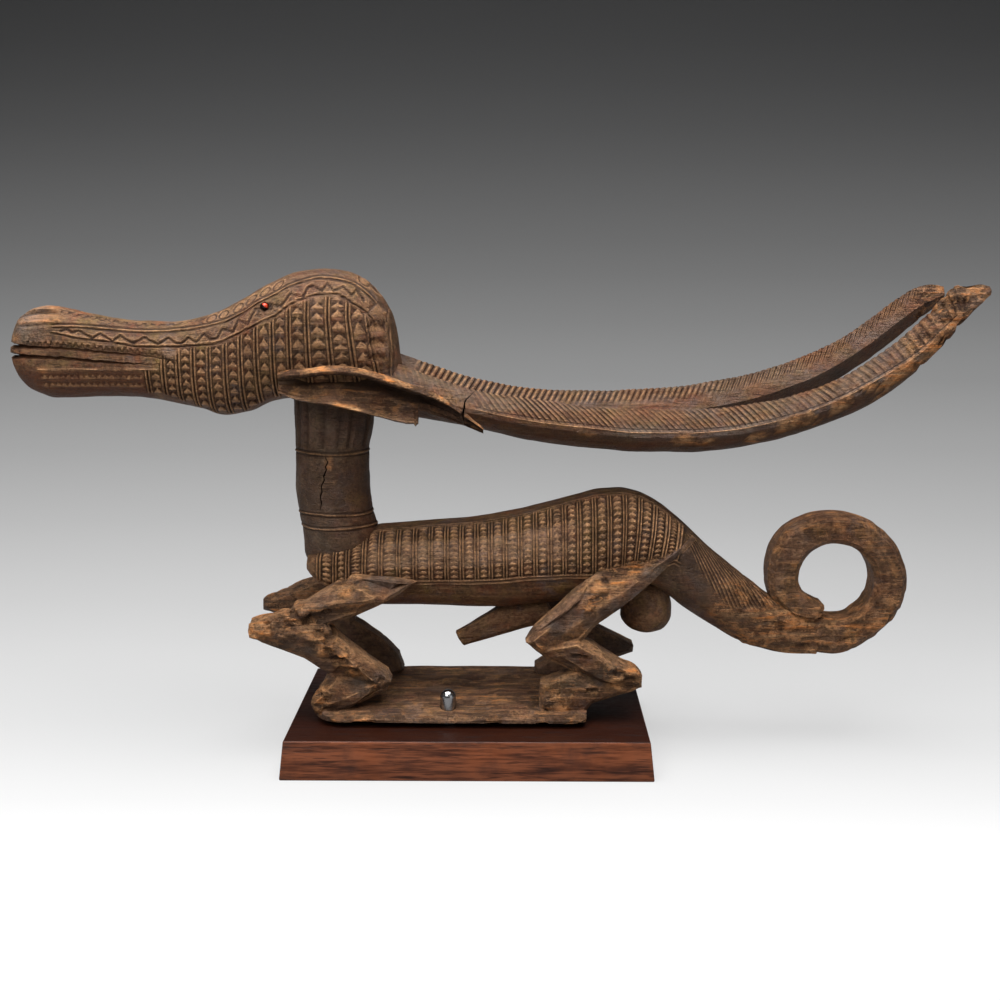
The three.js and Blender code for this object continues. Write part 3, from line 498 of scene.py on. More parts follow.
# Both sides, with the marks of the hand, the wear and the smoke, and painted shade under the chin
handled = step(z - crown, 1, 3) * step(x, -205, -185) * (0.3 + 0.7 * step(nearest, 0.9, 1.3))
handled = handled + 0.55 * band * step(z - field, -1, 1) * (1 - step(z - crown, -1, 1))
wear_and_highlight += 0.14 * (z < field) * step(x, -232, -220)
rings = both_sides(np.stack([x, -y, z], axis=2), mirrored=True)
cells = tuple(both_sides(values) for values in (cell_out, cell_down, 0.9 * carved))
drawn = (both_sides(near_line), both_sides(near_crest), 0)
raised, cut, wear_and_highlight, ochre, handled = (both_sides(values) for values in (raised, cut, wear_and_highlight, ochre, handled))
hand = hand_work(rings, 3, ((26, 14, 14), 0.5), ((8, 5, 5), 0.3))
rings = displaced(rings, (raised + hand) * step(rings[..., 0], -333, -329))
x, z = rings[..., 0], rings[..., 2]
patch = unevenness(rings, (22, 16, 12), 5)
wear_and_highlight = wear_and_highlight * (0.75 + 0.35 * patch) * (1 - 0.6 * step(z, 262, 270) * (x < -150))
low_jaw = (1 - step(z, 236, 244)) * (1 - step(x, -236, -222))
greyed = (1 - step(x, -318, -296)) * step(z, 255, 262) * 0.7 + 0.15 * step(patch, 0.1, 0.7)
tip = 1 - step(x, -330, -322)
chipped = line_cut(z - 262.5, 4) * line_cut(x + 325.5, 5)
worn_knob = line_cut(z - 240.5, 3.5) * line_cut(x + 306, 5)
fresh = tip * 0.1 + 0.9 * chipped + 0.7 * worn_knob + ochre
# Painted shade: the underside of the chin is painted darker, and redder
under_chin = 1 - step(z, 222, 230)
dark = 0.25 * low_jaw + 0.35 * under_chin + 0.45 * (1 - step(x, -331, -312)) + 0.55 * handled
red = 0.85 * low_jaw + 0.35 * under_chin + 0.3 * step(patch, 0.1, 0.6)
figure = skinned("carved_figure", rings, (cut, wear_and_highlight, fresh), (dark, red, greyed), cells, drawn)

# The neck and the body: carved in one with the head. The neck is plain below a raised ring and fluted
# above it. The body is covered in columns of small chip-cut triangles under a plain dark spine,
# worn shallow along its middle by handling, and its rump runs out into the root of the tail.

NECK_FRONT = [
    (88, -114), (96, -119), (104, -122.5), (120, -124), (135, -127), (157, -129), (180, -128),
    (213, -128), (224, -129),
]
NECK_BACK = [
    (88, -62), (110, -65), (125, -69), (135, -72), (150, -73.3), (180, -74.3), (199, -71), (224, -69),
]
NECK_HALF_WIDTH = [(88, 19), (104, 21.5), (125, 24.5), (150, 24.5), (180, 24.5), (224, 26)]
NECK_RINGS = [125, 135, 180]
NECK_FLUTES = [0, 3, 8, 11, 16, 20, 22, 27, 31, 35, 38, 43, 47, 50, 55]
NECK_ROWS = 60

TRUNK_TOP = [
    (-119.5, 103), (-110, 107), (-92, 112), (-80, 117), (-68, 123.5), (-37, 126.3), (-1, 129.2),
    (26, 133.7), (52, 139.5), (79, 146.8), (96, 151), (110, 152), (124, 149.5), (141, 140.5),
    (159, 126), (177, 109), (196, 93), (214, 79), (232, 66), (247, 60), (263, 59),
]
TRUNK_LOW_X = [
    (-119.5, -119.5), (98, 98), (110, 109), (124, 118), (141, 131), (159, 146), (177, 158), (196, 175),
    (214, 193), (232, 213), (247, 236), (263, 258),
]
TRUNK_LOW_Z = [
    (-119.5, 91), (-112, 84), (-98, 74), (-66, 64.5), (-38, 64), (22, 62.5), (45, 65), (68, 67),
    (92, 72), (110, 78), (141, 80.5), (159, 73), (177, 63.5), (196, 52.5), (214, 41.5), (232, 33),
    (247, 28), (263, 27.5),
]
TRUNK_HALF_WIDTH = [
    (-119.5, 17), (-115, 24), (-100, 29), (-60, 30), (0, 31), (60, 32.5), (110, 33), (141, 31),
    (159, 28), (177, 25.5), (196, 23), (214, 21), (232, 19), (247, 17), (263, 16),
]
TRUNK_ROUNDNESS = [(-119.5, 3), (-90, 2.6), (-50, 2.2), (180, 2.2), (263, 4)]
BODY_COLUMNS = [
    -110, -98, -88.5, -76.5, -64.5, -51.5, -39.5, -28, -16.5, -5.5, 5.3, 15.5, 26, 37, 48, 58.5, 69.2,
    80, 91, 102.2, 113.8, 125.6, 137, 147, 156,
]
BODY_FIELD_TOP = 0.955
BODY_FIELD_FOOT = [
    (-119.5, 0.2), (-103, 0.26), (-83, 0.4), (-39.5, 0.4), (22, 0.4), (65.7, 0.354), (102.8, 0.27),
    (129.6, 0.28), (143, 0.38), (151.7, 0.48), (156.7, 0.56), (263, 0.4),
]
SPINE_ROWS, EDGE_ROWS, FIELD_ROWS, HEM_ROWS, BELLY_ROWS = 3, 4, 36, 4, 6
BODY_LINE_FOOT, BODY_LINE_CREST = 2.2, 1.1
BODY_LINE_HEIGHTS = (-0.3, 0.65, -0.6)
SPINE_LINES, HEM_LINES = (-0.5, 0.35, -0.6, 0.4), (-0.5, 0.55, -0.6, 0.5, -0.3)
PLUME_PITCH = 5.0

neck_front = through(NECK_FRONT)
neck_back = through(NECK_BACK)
neck_half_width = through(NECK_HALF_WIDTH)

levels = sorted(set(
    [88.0 + 2.2 * i for i in range(62)]
    + [ring + shift for ring in NECK_RINGS for shift in (-1.6, -0.7, 0.0, 0.7, 1.6)]
    + [182.0, 183.2, 184.4]
))
z = np.array(levels)[:, None]
angle = (np.arange(NECK_ROWS) + 0.5)[None, :] * 2 * np.pi / NECK_ROWS
front, back, wide = neck_front(z), neck_back(z), neck_half_width(z)
rings = np.stack([
    (front + back) / 2 + (back - front) / 2 * np.cos(angle),
    wide * np.sin(angle),
    z + 0 * angle,
], axis=2)
raised, cut, wear_and_highlight, near_line, near_crest = np.zeros((5, *rings.shape[:2]))
for ring in NECK_RINGS:
    off = z - ring + 0.6 * np.sin(angle * 2 + ring)
    bead = line_cut(off, 1.0)
    beside = line_cut(off - 1.6, 0.9) + line_cut(off + 1.6, 0.9)
    raised += 0.5 * bead - 0.35 * beside
    wear_and_highlight += 0.5 * bead
    cut += 0.4 * beside
    for shift in (-1.5, 1.5):
        near_line = np.maximum(near_line, line_cut(off + shift, NEAR))
    near_crest = np.maximum(near_crest, 0.9 * line_cut(off, NEAR))
flute = np.isin(np.arange(NECK_ROWS), NECK_FLUTES)[None, :] * step(z, 182.5, 185)
raised -= 1.2 * flute
cut += 0.7 * flute
low_lines = (np.arange(NECK_ROWS) % 5 == 0)[None, :] * (1 - step(z, 122, 125)) * 0.5
raised -= 0.5 * low_lines
cut += 0.5 * low_lines
rings = displaced(rings, raised + hand_work(rings, 11, ((16, 16, 26), 0.7), ((5, 5, 8), 0.45)))
x, height = rings[..., 0], rings[..., 2]
patch = unevenness(rings, (14, 14, 20), 13)
side_red = step(x, -100, -78) * (1 - step(height, 165, 195)) * 0.45
plug = line_cut(x + 100.6, 2.6) * between(height, 167, 169, 178, 180) * (rings[..., 1] < 0)
wear_and_highlight += 0.12 * step(patch, 0.2, 0.8)
dark = 0.98 + 0.25 * patch - side_red * 0.4 + 0.25 * step(z, 178, 186)
grey = 0.45 + 0.4 * patch - side_red
drawn = (near_line, near_crest, 0)
neck = skinned("neck", rings, (cut, wear_and_highlight, 0.9 * plug), (dark, side_red, grey), drawn=drawn)

trunk_top = through(TRUNK_TOP)
trunk_low_x = through(TRUNK_LOW_X)
trunk_low_z = through(TRUNK_LOW_Z)
trunk_half_width = through(TRUNK_HALF_WIDTH)
trunk_roundness = through(TRUNK_ROUNDNESS)
body_field_foot = through(BODY_FIELD_FOOT)


def trunk_rows(s):
    """Points of the rows of one side, from the spine to the belly, for the upright station s."""
    roundness = float(trunk_roundness(s))
    turn = np.linspace(0, np.pi, 500)
    height = np.sign(np.cos(turn)) * np.abs(np.cos(turn)) ** (2 / roundness)
    wide = trunk_half_width(s) * np.abs(np.sin(turn)) ** (2 / roundness)
    share = (height + 1) / 2
    low_x, low_z = trunk_low_x(s), trunk_low_z(s)
    line = np.stack([low_x + (s - low_x) * share, -wide, low_z + (trunk_top(s) - low_z) * share], axis=1)
    reach = np.concatenate([[0], np.cumsum(np.linalg.norm(np.diff(line, axis=0), axis=1))])
    field = np.interp(-BODY_FIELD_TOP, -share, reach)
    foot = np.interp(-body_field_foot(s), -share, reach)
    edge = min(5.0, field * 0.5)
    hem = min(5.2, (reach[-1] - foot) * 0.4)
    rows = np.concatenate([
        np.linspace(0, field - edge, SPINE_ROWS + 1)[:-1],
        np.linspace(field - edge, field, EDGE_ROWS + 1)[:-1],
        np.linspace(field, foot, FIELD_ROWS + 1)[:-1],
        np.linspace(foot, foot + hem, HEM_ROWS + 1)[:-1],
        np.linspace(foot + hem, reach[-1], BELLY_ROWS + 1),
    ])
    return np.stack([np.interp(rows, reach, line[:, i]) for i in range(3)], axis=1)


stations = plain_stations([-119.5, -119.1, -118.2, -116.8, -114.9], -1)
foot, crest = BODY_LINE_FOOT, BODY_LINE_CREST
stations += column_stations(BODY_COLUMNS, foot, crest, BODY_LINE_HEIGHTS, (0.24, 0.5, 0.76))
stations += plain_stations(np.linspace(160.5, 263, 38), -2)
nominal, line_height, across, column, cell_out = np.array(stations).T[:, :, None]
side = np.array([trunk_rows(s[0]) for s in stations])
row = np.arange(side.shape[1])[None, :]
raised, cut, wear_and_highlight = np.zeros((3, *side.shape[:2]))

first = SPINE_ROWS + EDGE_ROWS
last = first + FIELD_ROWS
in_field = (row >= first) & (row <= last)
on_body = between(nominal, -113.5, -112, 158.5, 159.5)
before_hip = 1 - step(nominal, 62, 92)
rubbed = between(row, first + 9, first + 12, last - 9, last - 6) * before_hip * step(nominal, -84, -66)
rubbed = rubbed * (0.8 + 0.3 * unevenness(side, (16, 16, 10), 21))
lower = step(row, last - 8, last - 5) * before_hip * 0.45
deep = np.clip(1 - 0.78 * rubbed - lower, 0.15, 1)
lines = line_height * on_body * in_field * (1 - 0.45 * rubbed)
raised += lines
wear_and_highlight += np.clip(lines / BODY_LINE_HEIGHTS[1], 0, 1)
cut += 0.6 * np.clip(lines / BODY_LINE_HEIGHTS[2], 0, 1)
period = np.where(nominal < -86, 5, 3)
t = ((row - first) % period) / (period - 1.0)
chip = in_field & (column >= 0) & (np.abs(across) > t * 0.8 + 0.12)
ledge = in_field & (column >= 0) & ~chip & (np.abs(across) < 0.95)
raised -= np.where(chip, 1.1 * deep * (1 - 0.35 * t), 0)
cut += np.where(chip, 0.6 * deep * (1 - 0.3 * t), 0)
raised += np.where(ledge, 0.3 * deep, 0)
wear_and_highlight += np.where(ledge, 0.9 * deep, 0)
for start, heights in ((SPINE_ROWS, SPINE_LINES), (last, HEM_LINES)):
    for number, height in enumerate(heights, start):
        here = (row == number) * on_body
        raised += height * here
        wear_and_highlight += np.where(height > 0, 0.9, 0) * here
        cut += np.where(height < 0, 0.8, 0) * here
dots = (row == last + 4) * (np.abs(across) < 0.35) * (column >= 0) * (nominal > -22) * (nominal < 128) * 1.0
outer_rows = on_body * ((row < first + 8) | (row > last - 7)) * (row > 1) * (row < last + 3)
cell_down = (row - first) / period
carved = on_body * (row > first - 0.5) * (row < last + 0.5) * np.clip(1 - 0.6 * rubbed - 0.5 * lower, 0.3, 1)

# Curved strokes that fall from the back over the root of the tail, as on a plume
below = np.linalg.norm(side - side[:, :1], axis=2)
plume = nominal - below * np.interp(nominal, [160, 240], [1.2, 1.5]) - 0.012 * below**2
reach_down = np.interp(nominal, [160, 176, 200, 215, 230], [25, 31, 34, 27, 13])
plumed = between(nominal, 160, 161.5, 228, 234)
plumed = plumed * step(row, 1.5, 2.5) * (1 - step(below, reach_down - 2, reach_down))
tail_root = nominal > 160
cell_out = np.where(tail_root, -1.0, cell_out)
cell_down = np.where(tail_root, plume / PLUME_PITCH, cell_down)
carved = np.where(tail_root, plumed, carved)

# Both sides, with the rot of the tail's root, the wear of the flanks, the dark haunch and painted shade under
# the belly
every_row = 0 * raised
cells = tuple(both_sides(values + every_row) for values in (cell_out, cell_down, carved))
raised, cut, wear_and_highlight, rubbed, dots, plumed, outer_rows = (
    both_sides(values + every_row) for values in (raised, cut, wear_and_highlight, rubbed, dots, plumed, outer_rows)
)
rings = both_sides(side, mirrored=True)
x, z = rings[..., 0], rings[..., 2]
flaked = line_cut(x - 197, 27) * line_cut(z - 66, 28)
rotten = np.maximum(step(x - 0.5 * z, 140, 196), 0.9 * step(flaked, 0.1, 0.4))
fibres = unevenness(rings, (30, 5, 3.4), 24)
holes = step(unevenness(rings, (10, 6, 4.5), 25), 0.35, 0.75)
hand = hand_work(rings, 22, ((24, 14, 12), 0.6), ((8, 5, 5), 0.2))
rings = displaced(rings, raised + hand + rotten * (1.2 * fibres - 1.9 * holes))
x, z = rings[..., 0], rings[..., 2]
patch = unevenness(rings, (20, 14, 12), 26)
# Painted shade: the lower body is painted darker, and redder, towards the belly
belly = 1 - step(z, 66, 86) * (1 - step(x, 150, 200))
orange = step(unevenness(rings, (14, 14, 7), 27), 0.42, 0.8)
hip = line_cut(x - 95, 34) * line_cut(z - 92, 20)
haunch = step(line_cut(x - 163, 34) * line_cut(z - 88, 30), 0.1, 0.45)
rump = between(x, 112, 132, 160, 168) * step(z, 92, 104)
spine = step(z - trunk_top(x), -4.5, -2)
cut = cut + rotten * 0.8 * holes
wear_and_highlight = wear_and_highlight * (0.8 + 0.3 * patch) + 0.45 * rubbed
fresh = 0.6 * orange * hip + rotten * (0.25 + 0.35 * step(fibres, 0.1, 0.5) + 0.6 * orange)
dark = 0.3 * outer_rows + 0.2 * belly + 0.35 * spine + 0.2 * rotten * (patch > 0)
dark = dark + (0.8 * haunch + 0.9 * plumed) * (1 - 0.6 * rotten) + 0.4 * rump
red = 0.25 * rotten + 0.3 * belly + 0.3 * step(patch, 0.1, 0.6)
grey = 0.6 * rubbed + 0.3 * haunch
trunk = skinned("trunk", rings, (cut, wear_and_highlight, fresh), (dark, red, grey), cells, (0, dots, rotten))
work(figure, trunk, "UNION")
work(figure, neck, "UNION")

# The horns and the ears: two long horns swept back side by side, fused along their first part, each
# with a ridge and notched faces, and two hollow ears laid back under them. The near ear has lost
# its lower lip. Tips and edges are chipped down to pale wood.

HORN_SPREAD = [(-80, 15), (0, 15), (100, 14.5), (150, 15.5), (200, 22), (270, 34), (364, 48)]
HORN_REACH_OUT = [(-80, 15), (0, 15), (150, 14), (270, 12.5), (330, 9), (364, 3)]
HORN_REACH_IN = [(-80, 17), (100, 17), (145, 15.6), (160, 14), (270, 12), (330, 9), (364, 3)]
HORN_START = -70
STROKE_PITCH = 4.4
DOUBLE_STROKES_FROM = 190
STROKE_STEPS = np.array([0, 0.27, 0.73])
# Each face round a horn as (name, rows, how far it swells outwards, how far upwards)
HORN_FACES = [
    ("outer", 8, 1.4, 0.84), ("edge", 2, 0, 0), ("under", 4, 1.76, -1.32), ("inside", 3, 0, 0),
    ("inner", 6, -0.6, 0),
]
STROKE_SLANT = through([(-80, 6), (-20, 9), (20, 15), (60, 18), (130, 18), (200, 12), (270, 9), (364, 7)])
EDGE_CHIPS = [(226, 8), (262, 8), (300, 11), (326, 13)]
NEAR_HORN = {
    "end": 359,
    "top": [
        (-80, 256), (-49, 244), (-20, 234), (5, 226), (37, 221), (66, 217), (95, 214), (124, 213),
        (152, 212), (181, 214), (208, 218), (236, 225), (262, 236), (276, 244.5), (289, 254), (302, 265),
        (314, 276.5), (325, 289), (333, 298), (341, 302.5), (352, 302), (359, 300),
    ],
    "middle": [
        (-80, 226), (6, 213), (23, 209), (51, 204), (94, 199), (123, 196.5), (158, 196.5), (186, 199),
        (207, 203), (234, 211), (260, 222), (286, 237), (312, 254), (330, 272), (359, 298),
    ],
    "bottom": [
        (-80, 214), (-30, 205), (15, 196), (37, 191), (66, 186), (95, 183), (124, 181), (160, 181),
        (182, 183), (209, 188.5), (237, 197), (264, 208), (290, 222), (316, 244), (341, 273),
        (350, 284), (359, 297),
    ],
}
FAR_HORN = {
    "end": 356,
    "top": [
        (-80, 258), (-52, 250), (-22, 240), (8, 231), (37, 226), (67, 223), (96, 223), (126, 224),
        (156, 226), (177, 229), (201, 233), (231, 241), (262, 252.5), (292, 269), (307, 280),
        (322, 291), (334, 297.5), (346, 300), (356, 298),
    ],
    "middle": [
        (-80, 230), (8, 217), (67, 208), (126, 210), (170, 214), (214, 223), (244, 231), (282, 246),
        (305, 261), (320, 271), (334, 283), (356, 292),
    ],
    "bottom": [
        (-80, 214), (-30, 206), (37, 195), (96, 191), (150, 193.5), (200, 200.5), (245, 214), (271, 226.5),
        (296, 242), (315, 255.5), (333, 269.5), (356, 287),
    ],
}
EAR_TOP = [
    (-134, 240), (-124, 242), (-113, 243), (-95, 245), (-78, 244), (-47, 235), (-19, 224), (11, 201),
]
EAR_BOTTOM = [
    (-134, 225), (-124, 221.5), (-110, 219), (-96, 217.5), (-66, 210), (-49, 206), (-35, 203.5), (11, 197),
]
EAR_BROKEN_BOTTOM = [(-34, 213), (-15, 206.5), (11, 196.5)]
EAR_BREAK = -34.5
EAR_OUT = [(-134, 38), (-118, 44), (-95, 48), (-60, 49), (-20, 46), (11, 39)]
EAR_BACK = [(-134, 22), (-118, 26), (-80, 28), (-50, 32.5), (-20, 33.5), (11, 34)]
EAR_HOLLOW = [(-134, 1), (-124, 5), (-100, 10), (-50, 10), (-20, 7), (11, 2)]
EAR_LIP = 5.6


def horn(name, shape, side, seed):
    """One horn: a bar of five faces along x, its outer and inner faces cut across with slanting strokes."""
    top, middle, bottom = (through(shape[key]) for key in ("top", "middle", "bottom"))
    spread, reach_out, reach_in = through(HORN_SPREAD), through(HORN_REACH_OUT), through(HORN_REACH_IN)
    end, near = shape["end"], side < 0
    grooves = np.arange(HORN_START, end - 10, STROKE_PITCH)
    stations = (grooves[:, None] + STROKE_PITCH * STROKE_STEPS[None, :]).reshape(-1)
    stations = np.concatenate([stations, [end - 5.5, end - 4, end - 2.6, end - 1.4, end - 0.6, end]])
    x = stations[:, None]

    def corner(slant, out, height):
        """One corner of all the sections, each moved along by the slant of the strokes."""
        along = np.minimum(end, x + slant * (1 - step(x, end - 34, end - 6)))
        return np.concatenate([along, spread(along) + out(along), height(along)], axis=1)

    slant = STROKE_SLANT(x)
    corners = [
        corner(0.0, np.zeros_like, top), corner(slant, reach_out, middle),
        corner(slant, reach_out, lambda at: middle(at) - 3.5), corner(4.0, np.zeros_like, bottom),
        corner(-10.0, lambda at: -reach_in(at), lambda at: top(at) * 0.45 + bottom(at) * 0.55),
    ]
    rows, kinds, places = [], [], []
    for (kind, count, out, up), a, b in zip(HORN_FACES, corners, corners[1:] + corners[:1]):
        for t in np.arange(count) / count:
            swell = 4 * t * (1 - t) * (1 - step(x, end - 30, end - 4))
            rows.append((a + (b - a) * t + swell * np.array([0, out, up])) * np.array([1, side, 1]))
            kinds.append(kind)
            places.append(t)
    rings = np.stack(rows, axis=1)
    place = np.array(places)[None, :]
    outer, edge, under, inside, inner = (np.array(kinds)[None, :] == face[0] for face in HORN_FACES)
    number = np.arange(len(stations))[:, None]
    along = rings[..., 0]

    # Strokes across the outer face, and coarser ones over the ridge and down the inner face
    start = step(along, -4, 10) if near else step(along, -40, -28)
    early = (1 - start) * step(along, -62, -50)
    stop = 1 - step(along, end - 26, end - 12)
    low_half = np.where(along > 60, step(place, 0.45, 0.6), 1.0)
    cut_here = (number % 3 == 0) * stop
    fine = cut_here * (start + 0.3 * early)
    coarse = (cut_here + 0.35 * (number % 3 == 1) * stop) * step(along, -44, -32)
    coarse = np.where(along > DOUBLE_STROKES_FROM, fine, coarse)
    shallow = 0.75 + 0.35 * unevenness(rings * np.array([1, 0, 0]), (9, 9, 9), seed + 5)
    ridge = outer & (place < 0.01)
    groove = fine * (0.35 + 0.65 * step(place, 0.02, 0.12)) * (1 - step(place, 0.9, 1)) * shallow * outer
    groove = np.where(inner, coarse * (0.55 + 0.45 * place) * low_half, groove)
    groove = np.where(ridge, np.maximum(0.35 * fine, 0.8 * coarse), groove)
    line = edge * (place < 0.3) * start * stop
    turns = (number // 3) + STROKE_STEPS[number % 3] - 0.02
    doubled = (DOUBLE_STROKES_FROM - HORN_START) // STROKE_PITCH
    turns = turns + np.maximum(0, turns - doubled) * (not near)
    outer_tone = np.interp(along, [150, 230], [0.62, 0.55]) * np.clip(start + 0.25 * early, 0, 1)
    stroked = outer_tone * (1 - step(place, 0.86, 1.0)) * stop * shallow * outer
    coarse_tone = step(along, -44, -32) * stop * np.interp(along, [60, 200], [1.0, 0.55]) * low_half
    stroked = np.where(inner | ridge, coarse_tone * (0.8 if near else 1.0), stroked)
    rim_line = outer * (place > 0.8) * start * stop

    # Chips along the lower edge, and the broken tip
    broken = step(along, end - 66, end - 30) if near else step(along, end - 32, end - 14)
    chips = step(unevenness(rings, (24, 6, 3.6), seed + 2), 0.2, 0.5)
    edge_chips = step(unevenness(rings, (17, 8, 7), seed + 3), 0.3, 0.55) * (edge | under)
    edge_chips = edge_chips * step(along, 60, 130) * near
    for chip_x, long in EDGE_CHIPS if near else []:
        lower_edge = edge | (under & (place < 0.3))
        edge_chips = np.maximum(edge_chips, line_cut(along - chip_x, long) ** 0.5 * lower_edge)
    raised = -0.95 * groove * np.interp(along, [150, 230], [1.0, 0.75]) + 0.35 * line
    raised = raised + hand_work(rings, seed, ((20, 9, 9), 0.5), ((6, 4, 4), 0.2))
    raised = raised - broken * 2.4 * chips * (1 - step(along, end - 16, end - 4)) - 1.1 * edge_chips
    rings = displaced(rings, raised)
    patch = unevenness(rings, (24, 10, 8), seed + 4)
    band = (edge | (under & (place < 0.1)) | (outer & (place > 0.85))) * start
    # Painted shade: the under and inside faces are painted darker, and redder
    beneath = (under | inside) * 1.0
    cut = groove * 0.45 + 0.5 * broken * step(chips, 0.5, 1)
    wear_and_highlight = 0.3 * line * (0.75 + 0.4 * patch)
    fresh = broken * (0.2 + 0.5 * chips) * (patch > -0.3) * 0.6 + 0.9 * edge_chips
    dark = (0.7 * beneath + 0.45 + 0.25 * patch) * (1 - 0.6 * broken) + 0.2 * broken * chips
    russet = 0.15 + 0.35 * (patch < -0.2) + 0.3 * beneath + 0.35 * broken
    grey = 0.45 * (patch > 0) * (1 - beneath) + 0.8 * band * step(along, 60, 150)
    drawn = (rim_line, line * (1 - edge_chips), np.clip(broken + edge_chips, 0, 1))
    return skinned(name, rings, (cut, wear_and_highlight, fresh), (dark, russet, grey), (-1, turns, stroked), drawn)


def divided(outline, counts):
    """A closed outline of (n, 3) corner arrays with straight runs divided between the corners."""
    points = []
    for i, count in enumerate(counts):
        a, b = outline[i], outline[(i + 1) % len(outline)]
        points += [a + (b - a) * (j / count) for j in range(count)]
    return np.array(points)


def ear(name, side, broken, seed):
    """One ear: a long leaf laid back along the head, hollowed from outside between two lips."""
    top, whole, remains = through(EAR_TOP), through(EAR_BOTTOM), through(EAR_BROKEN_BOTTOM)
    out, back, hollow = through(EAR_OUT), through(EAR_BACK), through(EAR_HOLLOW)
    pitch = 2.6 if broken else 5.2
    stations = np.concatenate([
        np.arange(-134, -37, pitch), [-36.4, -35.6, EAR_BREAK - 0.3, EAR_BREAK + 0.3, -33.6, -32.6],
        np.arange(-30.5, 8, pitch), [8.6, 10, 11],
    ])
    rings = []
    for x in stations:
        gone = broken and x > EAR_BREAK
        high = float(top(x))
        low = float(remains(x) if gone else whole(x))
        if broken and -46 < x < EAR_BREAK:
            low += 1.3 * math.sin(x * 2.1) * (x + 46) / 12
        lip = min(EAR_LIP, (high - low) * 0.3)
        held = 0.7 - 0.45 * min(1, max(0, (x + 34) / 16))
        outer, inner = float(out(x)), float(back(x))
        lip_out = inner + (outer - inner) * held if gone else outer - 1.5
        pocket = max(inner + 1, outer - 2 - 1.5 * float(hollow(x)))
        outline = [
            (inner, high - 3), (outer - 4.5, high + 0.4), (outer - 1, high - lip * 0.25),
            (outer, high - lip * 0.6), (outer - 1.6, high - lip), (pocket, high - lip * 1.15),
            (pocket + 0.5, high - lip * 1.7), (lip_out - 1.2, low + lip * 0.45),
            (lip_out, low + lip * 0.2), (lip_out - 3, low), (inner, low + lip),
        ]
        corners = np.array([(x, side * y, z) for y, z in outline])
        rings.append(divided(corners, (4, 2, 2, 2, 3, 2, 8, 2, 2, 5, 3)))
    rings = np.array(rings)
    row = np.arange(rings.shape[1])[None, :]
    rim, pocket, floor_part, lower_lip = (
        ((row >= start) & (row <= stop)) * 1.0 for start, stop in ((4, 9), (10, 16), (17, 22), (23, 26))
    )
    x = rings[..., 0]
    hand = hand_work(rings, seed, ((14, 7, 6), 0.5), ((5, 3, 3), 0.25))
    splits = unevenness(rings, (12, 3, 1.6), seed + 3) * floor_part * 0.4
    rings = displaced(rings, (hand + splits) * between(x, -134, -128, 6, 11))
    patch = unevenness(rings, (9, 6, 3), seed + 2)
    rim_gold = np.zeros(x.shape)
    for start, stop in ((-114, -98), (-84, -38), (-24, -13), (3, 12)):
        rim_gold = np.maximum(rim_gold, between(x, start - 3, start + 3, stop - 3, stop + 3))
    lip_gold = lower_lip * between(x, -96, -91, -74, -69)
    past_break = (x > EAR_BREAK) * broken
    fresh = (rim * (row < 8) * rim_gold + lip_gold) * step(patch, -0.7, 0.0)
    wear_and_highlight = np.clip(0.3 * rim + 0.4 * lower_lip + 0.08 * floor_part * (patch > -0.1), 0, 1)
    wear_and_highlight = wear_and_highlight * (1 - 0.8 * past_break * (row > 16))
    torn = past_break * (row > 12) * (row < 27)
    # Painted shade: the hollow and the underside of the rim are painted near black, the hollow darker still
    cut = pocket * 0.95 + 0.6 * rim * (row > 8) + 0.5 * (row == 17) + 0.85 * torn
    cut = cut * step(x, -131, -120)
    patina_and_shade = (0.82 + 0.3 * pocket - 0.3 * patch, 0.25 + 0.6 * rim, 0.25 * (patch > 0))
    return skinned(name, rings, (cut, wear_and_highlight, fresh), patina_and_shade, drawn=(0, 0, 0.5 * floor_part + rim))


for part in (
    horn("horn_near", NEAR_HORN, -1, 31), horn("horn_far", FAR_HORN, 1, 41),
    ear("ear_near", -1, True, 51), ear("ear_far", 1, False, 56),
):
    work(figure, part, "UNION")

# The tail's curl, the legs, the foot plate and the parts under the belly: all the same block. The tail
# has weathered along its fibres, and the knees and hocks are cut in flat facets with worn, split edges.

TAIL_HOLE = (271.5, 84.5)
TAIL_HOLE_RADIUS = [
    (248, 28.8), (310, 28.8), (350, 28), (395, 27.2), (440, 27.5), (480, 28.8), (520, 28.6), (540, 28),
    (560, 25.5), (578, 22.5), (592, 21), (606, 20.5),
]
TAIL_OUTER_RADIUS = [
    (248, 56.3), (268, 56.3), (290, 53.8), (309, 52.2), (338, 52.6), (357, 52.7), (379, 51), (412, 50),
    (437, 49.2), (476, 51.3), (498, 53.6), (515, 52.8), (534, 50.8), (555, 49.2), (572, 45), (590, 37),
    (606, 31),
]
TAIL_CURL_HALF_WIDTH = 15.5

LEG_WIDTH = 24
LEG_OUTSIDE = 51
LEG_FACET = 5
LEG_RIM = 2.4
LEG_RIM_DEPTH = 2.8
LEG_LEAN = [(50, 0), (70, 2), (90, 11.5), (100, 17.5), (108, 19), (112, 22.5), (121, 33)]
FRONT_LEG = [
    (-38, 88.5), (-60, 75), (-79, 66), (-101, 59), (-97, 52), (-59, 23), (-56, 17), (-60, 10), (-97, -8),
    (-112, -8), (-115, 0), (-107, 12), (-102, 23), (-119, 34), (-149, 46), (-158.5, 51.5),
    (-158, 59.5), (-137, 65), (-114, 77), (-95, 88), (-77, 93), (-52, 90.5),
]
FAR_FRONT_LEG = [
    (-37, 92), (-60, 75), (-79, 62), (-91, 47), (-90, 41), (-71, 28), (-57, 14), (-54, 2), (-60, -3),
    (-108, -3), (-111, 3), (-104, 12), (-98, 26), (-116, 36), (-149, 45), (-162, 50), (-161, 58),
    (-141, 66), (-120, 75), (-91, 90), (-70, 98), (-50, 99),
]
